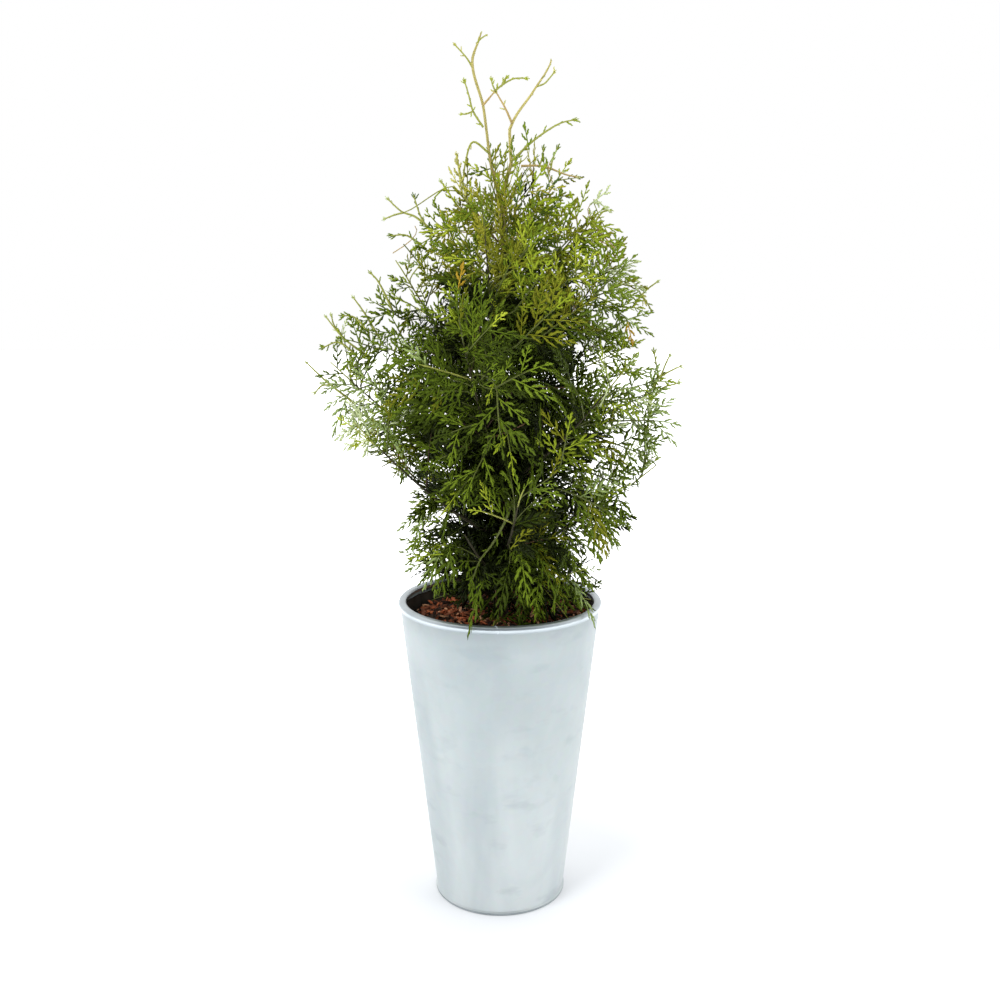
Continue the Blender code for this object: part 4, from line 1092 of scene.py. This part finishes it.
def branchlet(root, angle, length, girth=0.08, plain=False):
    """Points of one branchlet that leaves its frond's rachis by an angle, in the frond's plane."""
    outline, ridge = (PLAIN_OUTLINE, PLAIN_RIDGE) if plain else (LOBED_OUTLINE, LOBED_RIDGE)
    flat = np.array(outline + ridge)
    wide = girth * length + 0.0006
    x = flat[:, 0] * length
    y = flat[:, 1] * wide * draw(0.85, 1.15)
    z = np.zeros(len(flat))
    z[len(outline):] = BRANCHLET_THICKNESS
    roll = draw(-0.5, 0.5)
    y, z = y * cos(roll) - z * sin(roll), y * sin(roll) + z * cos(roll)
    curve = -0.28 * copysign(1, angle) * (1 if angle else 0)
    turned = angle + curve * x / length
    dip = draw(-0.12, 0.08)
    across = x * np.sin(turned) + y * np.cos(turned)
    ahead = x * np.cos(turned) - y * np.sin(turned)
    return np.stack((root + ahead, across, z + dip * x * x / length), axis=1)


def rachis(length, last):
    """A thin three-sided stalk with flat ends, in the frond's own plane."""
    points, faces = [], []
    for run in np.linspace(0.0, length - 0.8 * last, 4):
        radius = 0.0013 - 0.0007 * run / length
        for k in range(3):
            a = 2 * pi * (k + 0.25) / 3
            points.append((run, radius * cos(a), 0.6 * radius * sin(a)))
    for i in range(3):
        for k in range(3):
            a, b = 3 * i + k, 3 * i + (k + 1) % 3
            faces += [(a, b, b + 3), (a, b + 3, a + 3)]
    faces += [(0, 2, 1), (9, 10, 11)]
    return np.array(points), np.array(faces)


def frond_count(length, last, pitch):
    """How many branchlets stand along a frond, before the one at its end."""
    return int((length - STALK - 0.6 * last) / pitch) + 1


def frond_shape(length, pitch, longest, girth, plain):
    """A flat frond: points, faces and the part that each point belongs to (0 is the rachis)."""
    last = min(0.016, 1.2 * longest)
    pieces = [rachis(length, last)]
    blade = PLAIN_FACES if plain else LOBED_FACES
    longest = min(0.35 * length, longest)
    for i in range(frond_count(length, last, pitch)):
        run = STALK + pitch * (i + draw(-0.22, 0.22))
        share = run / length
        reach = (0.55 + 0.45 * sin(pi * min(1.0, share * 1.25) ** 0.8)) * (1 - 0.45 * share * share)
        lean = radians(BRANCHLET_ANGLE) * draw(0.88, 1.12) * (1.1 - 0.3 * share)
        size = longest * reach * draw(0.82, 1.12)
        pieces.append((branchlet(run, lean if i % 2 else -lean, size, girth, plain), blade))
    pieces.append((branchlet(length - last, 0.0, last, girth, plain), blade))
    parts = np.repeat(range(len(pieces)), [len(points) for points, _ in pieces])
    return *stacked(pieces), parts


class Crown:
    """The frond shapes that every spray draws from, and the fronds and twigs dealt out so far."""

    def __init__(self):
        chance.seed(SEED + 900)
        self.shapes = []  # length, points, faces, parts
        self.kinds = {}  # for each kind: length, first shape, variants
        for kind, (lengths, variants, *rule) in FROND_KINDS.items():
            self.kinds[kind] = []
            for length in lengths:
                self.kinds[kind].append((length, len(self.shapes), variants))
                self.shapes += [(length, *frond_shape(length, *rule)) for _ in range(variants)]
        self.dealt = []  # owner, shape, root, along, normal, scale, bend, droop, mirror, tone
        self.loose, self.twigs = {}, {}

    def deal(self, owner, root, along, normal, length, bend, droop, tone, kind):
        size, first, variants = min(self.kinds[kind], key=lambda entry: abs(entry[0] - length))
        shape = first + chance.randrange(variants)
        mirror = chance.choice((-1.0, 1.0))
        tone = LEAF_NAMES.index(tone)
        self.dealt.append((owner, shape, root, along, normal, length / size, bend, droop, mirror, tone))

    def lobe(self, owner, root, along, normal, length, tone):
        """One branchlet on its own, on a drawn shoot."""
        made = branchlet(0.0, 0.0, length)
        side = normalised(np.cross(normal, along))
        points = root + made[:, :1] * along + made[:, 1:2] * side + made[:, 2:] * np.cross(along, side)
        slots = np.full(len(LOBED_FACES), LEAF_NAMES.index(tone))
        self.loose.setdefault(owner, []).append((points, LOBED_FACES, slots))

    def twig(self, owner, centres, radii, tone, sides=4, drawn=False):
        """A thin twig, left out where the crown stays open unless it is a drawn one."""
        if drawn or not in_gap(np.array(centres)).any():
            points, faces, _ = tube(centres, radii, sides)
            slots = np.full(len(faces), TWIG_NAMES.index(tone))
            self.twigs.setdefault(owner, []).append((points, faces, slots))

    def placed(self, owner):
        """Points, faces and slots of every frond that one mass holds, less what would leave its space."""
        made = list(self.loose.get(owner, []))
        mine = [frond for frond in self.dealt if frond[0] == owner]
        for index, (size, points, faces, parts) in enumerate(self.shapes):
            chosen = [frond[2:] for frond in mine if frond[1] == index]
            if not chosen:
                continue
            root, along, normal, *numbers, tones = [np.array(column) for column in zip(*chosen)]
            along = normalised(along)
            side = normalised(np.cross(normal, along))
            normal = np.cross(along, side)
            scale, bend, droop, mirror = [column[:, None] for column in numbers]
            x, y, z = [points[None, :, k] * scale for k in range(3)]
            length = size * scale
            z = z * mirror + bend * x * x / length - 0.9 * np.abs(bend) * y * y / length
            place = root[:, None] + x[..., None] * along[:, None] + y[..., None] * side[:, None]
            place = place + z[..., None] * normal[:, None] - (droop * x * x / length)[..., None] * UP
            bad = past_outline(place) | in_planter(place) | in_gap(place)
            lost = np.stack([bad[:, parts == part].any(axis=1) for part in range(parts.max() + 1)], axis=1)
            lost[lost[:, 0]] = True
            keep = ~lost[:, parts[faces[:, 0]]]
            for k in np.flatnonzero(keep.any(axis=1)):
                kept = faces[keep[k]]
                if mirror[k, 0] < 0:
                    kept = kept[:, ::-1]
                used, fresh = np.unique(kept, return_inverse=True)
                made.append((place[k][used], fresh.reshape(kept.shape), np.full(len(kept), tones[k])))
        return stacked(made)


# ------------------------------------------------------------------ sprays


def green_with_painted_light(point):
    """The green that a frond takes: painted shade inside the crown and low down, fresher towards its outline
    and top, where the paler greens are partly new growth and partly painted light; the lit middle of the face
    takes painted light greens.
    """
    share = reach_share(point) - 0.20 + 2.6 * max(abs(point[0]) - 0.10, 0.0) + 0.9 * max(point[2] - 0.90, 0.0)
    share += chance.gauss(0.0, 0.15) - 0.7 * max(0.70 - point[2], 0.0)
    if chance.random() < 7.0 * (point[2] - 0.93):
        return chance.choice(TOP_GREENS)
    # Painted light: the middle of the face, lit from the front, takes lighter greens
    if share >= FACE_FROM and abs(point[0]) < FACE_HALF_WIDTH:
        return chance.choice(FACE_GREENS)
    return chance.choice(next(greens for limit, greens in REACH_GREENS if share < limit))


def frond_envelope(share):
    return (0.66 + 0.34 * sin(pi * min(1.0, share * 1.25) ** 0.85)) * (1 - 0.30 * share * share)


def grow_spray(crown, owner, root, along, normal, length, droop=0.0, tone=None, twig=None):
    """One spray: a twig with fronds on alternate sides and one at its end."""
    side = normalised(np.cross(normal, along))
    normal = np.cross(along, side)
    bend = draw(-0.26, 0.26)
    last = max(0.042, 0.36 * length)
    axis = max(length - last, 0.012)

    def at(run):
        return root + along * run + normal * (bend * run * run / length) - UP * (droop * run * run / length)

    runs = np.linspace(0.0, axis + 0.006, 4)
    if not twig:
        outer = reach_share(at(length))
        twig = chance.choice(next(tones for limit, tones in REACH_TWIGS if outer > limit))
    radii = np.interp(runs, (0, length), (0.0009 + 0.004 * length, 0.0006))
    crown.twig(owner, [at(run) for run in runs], radii, twig)
    count = max(1, int(axis / FROND_PITCH))
    spray_tone = tone or green_with_painted_light(at(0.6 * length))
    sign = chance.choice((-1, 1))
    longest = min(0.58 * length + 0.014, FROND_KINDS["open"][0][-1])
    for i in range(count + 1):
        if i == count:
            run, way, size = axis, along, last
        else:
            run = axis * (i + 0.55 + draw(-0.15, 0.15)) / count
            lean = radians(FROND_ANGLE) * draw(0.85, 1.15)
            sign = -sign
            way = along * cos(lean) + side * (sign * sin(lean))
            way = way + normal * draw(-0.22, 0.22)
            size = longest * frond_envelope(run / length) * draw(0.82, 1.1)
        tangent = normal * (2 * bend * run / length) - UP * (2 * droop * run / length)
        way = normalised(way + tangent)
        tilt = normalised(normal + side * draw(-0.45, 0.45) + along * draw(-0.25, 0.25))
        spot = at(run)
        for _ in range(4):
            if past_outline(spot + way * size, FROND_SLACK):
                size *= 0.82
        if size < FROND_SHORTEST:
            continue
        end = spot + way * size * 0.7
        mine = spray_tone if chance.random() < (0.8 if tone else 0.5) else green_with_painted_light(end)
        kind = "sprig" if end[2] > SPRIG_FROM else "open" if tone or reach_share(end) > OPEN_FROM else "full"
        curl = draw(-0.18, 0.14)
        crown.deal(owner, spot, way, tilt, size, curl, droop * 0.8 + 0.05, mine, kind)


def spray_normal(way, direction, facing):
    """The way a spray's flat side looks: outwards, or level and sideways, with a seeded tilt."""
    sideways = np.array((-way.outward[1], way.outward[0], 0.0))
    hint = way.outward + UP * 0.3 if facing else sideways
    hint = hint + sideways * draw(-0.8, 0.8) + UP * draw(-0.4, 0.5)
    side = normalised(np.cross(hint, direction))
    return normalised(np.cross(direction, side))


def any_normal(along):
    return around(along, draw(0, 2 * pi))


def grow_mass(crown, way):
    """Sprays along one bough's way, by turns on each of its sides, and one at its end."""
    top = way.tier == "top"
    droop = DROOP[way.tier]
    run = SPRAY_START * (0.6 if top else 1.0)
    turn = chance.randrange(len(ROLLS))
    while run < way.length - SPRAY_STOP:
        share = run / way.length
        point = way.at(share)
        roll = radians(ROLLS[turn % len(ROLLS)] + draw(-ROLL_SWAY, ROLL_SWAY))
        angle = radians(SPRAY_ANGLE * draw(0.8, 1.2))
        direction = branch_direction(way.along(share), roll, angle)
        lift = max(0.0, point[2] + 0.5 * direction[2] * 0.1 - UPRIGHT_FROM) * 4.5
        direction = normalised(direction + UP * lift)
        longest = SPRAY_LONGEST * (0.62 + 0.5 * sin(pi * min(1.0, 0.25 + share * 0.75)))
        length = min(longest, 0.9 * (way.length - run) + 0.05) * draw(0.75, 1.05)
        while length > SPRAY_SHORTEST and past_outline(point + direction * length, SPRAY_SLACK):
            length *= 0.88
        end = point + direction * length
        fits = length > SPRAY_SHORTEST or not past_outline(end, SPRAY_SLACK)
        thinned = end[2] > THIN_FROM and chance.random() < THIN_SHARE
        outer = reach_share(end) > OUTER_FROM
        if fits and not thinned and not (outer and chance.random() < OUTER_GAPS[way.tier]):
            normal = spray_normal(way, direction, chance.random() < 0.62)
            grow_spray(crown, way.name, point, direction, normal, length, droop)
        run += SPRAY_PITCH * draw(0.8, 1.2) * (1.9 if top else 1.0)
        turn += 1
    share = 1 - END_SPRAY_ROOT / way.length
    along = way.along(min(share + 0.1, 1.0))
    normal = spray_normal(way, along, False)
    grow_spray(crown, way.name, way.at(share), along, normal, END_SPRAY, droop)
    grow_heart(crown, way, droop)


def grow_heart(crown, way, droop):
    """Fronds in painted shade greens along the inner part of a bough."""
    run = HEART_START
    while run < HEART_SHARE * way.length:
        share = run / way.length
        run += HEART_PITCH
        if way.at(share)[2] > HEART_TOP:
            break
        roll, angle = draw(0, 2 * pi), radians(draw(45, 80))
        direction = branch_direction(way.along(share), roll, angle)
        tone = chance.choice(("shade", "shade", "deep"))
        size = draw(0.055, 0.090)
        normal = any_normal(direction)
        crown.deal(way.name, way.at(share), direction, normal, size, 0.0, droop, tone, "plain")


def grow_trunk_fronds(crown, ways):
    """Short fronds in painted shade greens straight from the trunk, which close the middle of the crown."""
    height, azimuth = TRUNK_FRONDS[0], 0.0
    while height < TRUNK_FRONDS[1]:
        low = height < INNER_TOP
        azimuth += GOLDEN_ANGLE + draw(-0.4, 0.4)
        outward = level_way(azimuth)
        foot = smooth_line(TRUNK_LINE, height) + outward * trunk_radius(height) * 0.8
        direction = normalised(outward + UP * draw(0.1, 0.9))
        size = draw(0.060, 0.100) * (0.80 if height > 0.95 else 1.0)
        owner = nearest_way(ways, foot + direction * size, (0.3,)).name
        normal = any_normal(direction)
        crown.deal(owner, foot, direction, normal, size, 0.0, 0.0, "shade", "plain")
        if chance.random() < (1.0 if low else 0.6):
            foot = foot + outward * draw(0.0, 0.060 if low else 0.022)
            direction = normalised(outward * draw(0.15, 0.5) + UP * chance.choice((-1.0, 1.0)))
            tilt = normalised(outward + UP * 0.1)
            tone = chance.choice(("shade", "deep"))
            crown.deal(owner, foot, direction, tilt, 0.8 * size, 0.0, 0.0, tone, "plain")
        height += TRUNK_PITCHES[height >= TRUNK_SPARSE_FROM]


# ------------------------------------------------------------------ single sprays and shoots


def join_twig(crown, way, point, heading, radius):
    """A curved leafy twig from a bough to a point, which it reaches in a given direction."""
    from_share = twig_start(way, point)
    start = way.at(from_share)
    length = np.linalg.norm(point - start)
    pull = 0.25 * length
    first, second = start + way.along(from_share) * pull, point - heading * pull
    shares = np.linspace(0.0, 1.0, 8)[:, None]
    path = start * (1 - shares) ** 3 + 3 * first * shares * (1 - shares) ** 2
    path = path + 3 * second * shares**2 * (1 - shares) + point * shares**3
    crown.twig(way.name, path, np.linspace(radius * 1.15, radius, 8), "shoot" if point[2] > 1.0 else "moss")
    for run in np.arange(LEAFY_FROM, length, LEAFY_PITCH):
        at = min(run / length * 7, 6.99)
        step = path[int(at) + 1] - path[int(at)]
        spot = path[int(at)] + step * (at % 1.0)
        direction = branch_direction(normalised(step), draw(0, 2 * pi), 0.75)
        size = draw(*LEAFY_SIZES)
        face = np.array((draw(-0.5, 0.5), -1.0, draw(-0.3, 0.5)))
        kind = "sprig" if spot[2] > 1.0 else "open"
        tone = green_with_painted_light(spot)
        crown.deal(way.name, spot, direction, face, size, 0.0, 0.1, tone, kind)


def grow_single(crown, ways, row, hanging=False):
    """A spray or a frond of its own, on a twig from the nearest bough."""
    root, tip, normal = np.array(row[:3]) / 1000, np.array(row[3:6]) / 1000, np.array(row[6:9]) / 10
    droop, tone = row[9] / 100, row[10]
    way = nearest_way(ways, root, (0.3, 0.45, 0.6, 0.75))
    length = np.linalg.norm(tip - root)
    heading = (tip - root) / length
    join_twig(crown, way, root, heading, TWIG_RADIUS)
    if hanging or length < SPRAY_SHORTEST:
        kind = "open" if hanging else "sprig"
        crown.deal(way.name, root, heading, normal, length, 0.0, droop, tone, kind)
    else:
        grow_spray(crown, way.name, root, heading, normal, length, droop, tone, "moss")


def grow_sprig(crown, tops, row):
    """A short upright frond at the top, on a thin twig from the nearest limb below it."""
    root, tip, tone = np.array(row[:3]) / 1000, np.array(row[3:6]) / 1000, row[6]
    heading = tip - root
    starts = [(way, way.at(share)) for way in tops for share in (0.1, 0.3, 0.5, 0.7, 0.9)]
    low = root[2] - np.hypot(root[0], root[1])
    starts += [(tops[-2], smooth_line(TRUNK_LINE, height)) for height in (low, low + 0.02)]
    below = [entry for entry in starts if entry[1][2] < root[2] - 0.008]
    way, start = min(below, key=lambda entry: np.linalg.norm(entry[1] - root))
    shares = np.linspace(0.0, 1.0, 6)[:, None]
    middle = root - normalised(heading) * 0.25 * np.linalg.norm(root - start)
    path = start * (1 - shares) ** 2 + 2 * middle * shares * (1 - shares) + root * shares**2
    crown.twig(way.name, path, np.linspace(TWIG_RADIUS, 0.0007, 6), chance.choice(("tan", "shoot", "shoot")))
    face = np.array((draw(-0.3, 0.3), -1.0, draw(-0.2, 0.3)))
    length = np.linalg.norm(heading)
    crown.deal(way.name, root, normalised(heading), face, length, 0.08, 0.0, tone, "sprig")


def grow_shoot(crown, ways, owner, row):
    """A thin shoot through drawn points, with short scaly lobes by turns on its two sides."""
    depth, radius, lobes, tone, twig, *places = row
    depth, radius, lobes = depth / 1000, radius / 10000, lobes / 10000
    pairs = zip(places[::2], places[1::2])
    path = smooth_path([(x / 1000, depth + 0.008 * draw(-1, 1), z / 1000) for x, z in pairs])
    if owner.split("_")[0] not in ("top", "tip"):
        way = nearest_way(ways, path[0], (0.4, 0.55, 0.7, 0.8))
        owner = way.name
        heading = normalised(path[1] - path[0])
        join_twig(crown, way, path[0], heading, min(0.8 * radius, TWIG_RADIUS))
    crown.twig(owner, path, np.linspace(1.6 * radius, 0.0010, len(path)), twig, 5, drawn=True)
    runs = runs_along(path)

    def at(run):
        return np.array([np.interp(run, runs, path[:, k]) for k in range(3)])

    run, sign = 0.004, 1
    end = normalised(path[-1] - path[-2])
    while run < runs[-1]:
        point = at(run)
        along = normalised(at(min(run + 0.004, runs[-1])) - point) if run < runs[-1] - 0.004 else end
        side = normalised(np.cross(FACE_SIDE, along)) * sign
        long = chance.random() < 0.30
        lean = radians(draw(30, 48) if long else draw(12, 26))
        direction = along * cos(lean) + side * sin(lean)
        direction = direction + np.array((0.0, draw(-0.4, 0.4), 0.0))
        size = lobes * (draw(1.2, 1.9) if long else draw(0.7, 0.95))
        crown.lobe(owner, point, normalised(direction), FACE_SIDE, size, tone)
        sign = -sign
        run += draw(*LOBE_PITCHES)
    side = normalised(np.cross(FACE_SIDE, end))
    for lean in (-0.4, 0.0, 0.35):
        direction = end * cos(lean) + side * sin(lean)
        root = path[-1] - end * (0.003 + 0.006 * abs(lean))
        crown.lobe(owner, root, direction, FACE_SIDE, 1.2 * lobes, tone)


def dress_leader(crown, owner, line, height):
    """Scale leaves that hug a leader from a height up to its tip."""
    top, turn = line[-1][0], 0.0
    while height < top:
        ahead, behind = smooth_line(line, min(height + 0.004, top)), smooth_line(line, height - 0.004)
        lean = radians(draw(8, 24))
        direction = branch_direction(normalised(ahead - behind), turn, lean)
        size = draw(*SCALE_SIZES)
        normal = any_normal(direction)
        crown.lobe(owner, smooth_line(line, height), direction, normal, size, chance.choice(LEADER_GREENS))
        turn += pi / 2 + draw(-0.5, 0.5)
        height += draw(*SCALE_PITCHES)


# ------------------------------------------------------------------ stage, light and camera


def make_stage():
    """A white floor that shines more and more with the distance, so that it ends in a white sky."""
    select()
    bpy.ops.mesh.primitive_plane_add(size=FLOOR_SIZE, location=(0, 0, -0.0004))
    floor = bpy.context.object
    floor.name = "studio_floor"
    made = Finish("studio_white", 0.9)
    glow = made.range(made.away(made.place), *FLOOR_GLOW)
    made.set(Base_Color=linear(228, 230, 233), Specular_IOR_Level=0.1)
    made.set(Emission_Color=linear(255, 255, 255), Emission_Strength=glow)
    add_finishes(floor, made.material)


def add_light(name, place, height, size, power):
    lamp = bpy.data.lights.new(name, "AREA")
    lamp.shape = "RECTANGLE"
    lamp.size, lamp.size_y = size
    lamp.energy = power
    made = bpy.data.objects.new(name, lamp)
    made.location = place
    made.visible_glossy = False
    aim = Vector((0, 0, height)) - Vector(place)
    made.rotation_euler = aim.to_track_quat("-Z", "Y").to_euler()
    bpy.context.scene.collection.objects.link(made)


def make_light():
    """Three soft lamps and a sky that is grey on the face side, for the zinc, but white to the camera."""
    world = bpy.data.worlds.new("studio")
    bpy.context.scene.world = world
    world.use_nodes = True
    tree = world.node_tree
    place = add_node(tree, "TexCoord", "Generated")
    depth = add_node(tree, "SeparateXYZ", "Y", Vector=place)
    share = add_node(tree, "MapRange", "Result", Value=depth, From_Min=-1.0)
    white = linear(255, 255, 255)
    shade = add_ramp(tree, share, [(0.14, (0.17, 0.19, 0.21, 1.0)), (0.50, white)])
    seen = add_node(tree, "LightPath", "Is Camera Ray")
    sky = add_node(tree, "Mix", "Result", {"data_type": "RGBA"}, Factor=seen, A=shade, B=white)
    set_inputs(tree, tree.nodes["Background"], {"Color": sky, "Strength": 1.0})
    for lamp in LAMPS:
        add_light(*lamp)
    bpy.context.scene.view_settings.view_transform = "Standard"


def make_camera():
    lens = bpy.data.cameras.new("camera")
    lens.sensor_width = 36.0
    lens.lens = CAMERA_LENS
    camera = bpy.data.objects.new("camera", lens)
    camera.location = CAMERA_PLACE
    camera.rotation_euler = (radians(90.0 - CAMERA_DIP), 0.0, 0.0)
    bpy.context.scene.collection.objects.link(camera)
    bpy.context.scene.camera = camera


# ------------------------------------------------------------------ the whole part


def make_limbs(ways):
    bark = bark_finish()
    heights = np.concatenate((np.linspace(SOIL_LEVEL - 0.002, 0.53, 14), np.linspace(0.537, TRUNK_TOP, 118)))
    centres = [smooth_line(TRUNK_LINE, max(z, SOIL_LEVEL)) * (1, 1, 0) + UP * z for z in heights]
    thinnest = np.clip(0.0010 + 0.03 * (TRUNK_TOP - heights), 0.0, 0.0020)
    radii = [max(trunk_radius(max(z, SOIL_LEVEL)), least) for z, least in zip(heights, thinnest)]
    trunk = joined_limbs("trunk_bark", [(centres, radii, 24, 1.0)], bark)
    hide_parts("trunk")
    path = [smooth_line(TRUNK_LINE, LEADER_ROOT)]
    path += [smooth_line(LEADER_LINE, z) for z in np.linspace(LEADER_FOOT, LEADER_TOP, 22)]
    leader = joined_limbs("leader_bark", [(path, np.linspace(*LEADER_RADII, len(path)), 10, 0.6)], bark)
    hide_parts("second_leader")
    for tier, *_ in TIERS:
        limbs = []
        mine = [way for way in ways if way.tier == tier]
        for way in mine:
            last = 0.6 if way.name == "skirt_4" else 1 - 0.08 / way.length
            while past_outline(way.at(last), BOUGH_SLACK):
                last -= 0.02
            shares = np.concatenate(([-0.012], np.linspace(0.0, last, 36)))
            radii = np.interp(shares, (*BOUGH_SHARES, last), BOUGH_RADII)
            limbs.append(([way.at(share) for share in shares], radii, 10, 0.9))
        boughs = joined_limbs("boughs_" + tier, limbs, bark)
        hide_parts(*["bough_" + way.name for way in mine])


def grow_crown(crown, ways, tops):
    """Every spray, frond and twig, in the order of their seeds."""
    for i, way in enumerate(ways + tops):
        if way.tier == "tip":
            continue
        chance.seed(SEED + 10 * (i + 1))
        grow_mass(crown, way)
        if way.tier == "top":
            shares = np.linspace(0.0, 1 - 0.06 / way.length, 10)
            line = [way.at(share) for share in shares]
            crown.twig(way.name, line, np.linspace(*TOP_LIMB_RADII, 10), "tan", 5)
    trunk_tops = [way for way in tops if way.tier == "top"]
    chance.seed(SEED + 700)
    grow_trunk_fronds(crown, ways + trunk_tops)
    chance.seed(SEED + 800)
    for row in SINGLE_SPRAYS:
        grow_single(crown, ways, row)
    for row in HANGING_FRONDS:
        grow_single(crown, ways, row, hanging=True)
    high = [way for way in ways if way.tier == "high"]
    for row in TOP_SPRIGS:
        grow_sprig(crown, high + trunk_tops, row)
    for owner, rows in DRAWN_SHOOTS.items():
        for row in rows:
            grow_shoot(crown, ways + tops, owner, row)
    dress_leader(crown, "tip_left", TRUNK_LINE, SCALES_FROM)
    dress_leader(crown, "tip_right", LEADER_LINE, LEADER_FOOT + 0.004)


def make_foliage(ways, tops):
    crown = Crown()
    grow_crown(crown, ways, tops)
    leaves = [leaf_finish("foliage_" + name, tone) for name, tone in LEAF_TONES.items()]
    woods = [twig_finish("twig_" + name, tone) for name, tone in TWIG_TONES.items()]
    for way in ways + tops:
        points, faces, slots = crown.placed(way.name)
        mass = joined_mesh("sprays_" + way.name, points, faces, leaves, slots)
        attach(mass, "root")
        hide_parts("foliage_" + way.name)
    tiers = {}
    for owner, twigs in crown.twigs.items():
        tiers.setdefault(owner.split("_")[0], []).extend(twigs)
    for tier, twigs in tiers.items():
        points, faces, slots = stacked(twigs)
        piece = joined_mesh("twigs_" + tier, points, faces, woods, slots)
        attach(piece, "root")


def dress_kept_nodes():
    """The solids that are shown as they are get their finishes."""
    floor = zinc_finish("zinc_floor")
    for name, finish in (("pot_floor", floor), ("inner_pot", plastic_finish()), ("root_ball", soil_finish())):
        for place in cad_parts[name].material_slots:
            place.material = finish


ways = bough_ways()
tops = top_ways()
dress_kept_nodes()
make_planter()
make_rim_lap()
make_bark_chips()
make_limbs(ways)
make_foliage(ways, tops)
make_stage()
make_light()
make_camera()
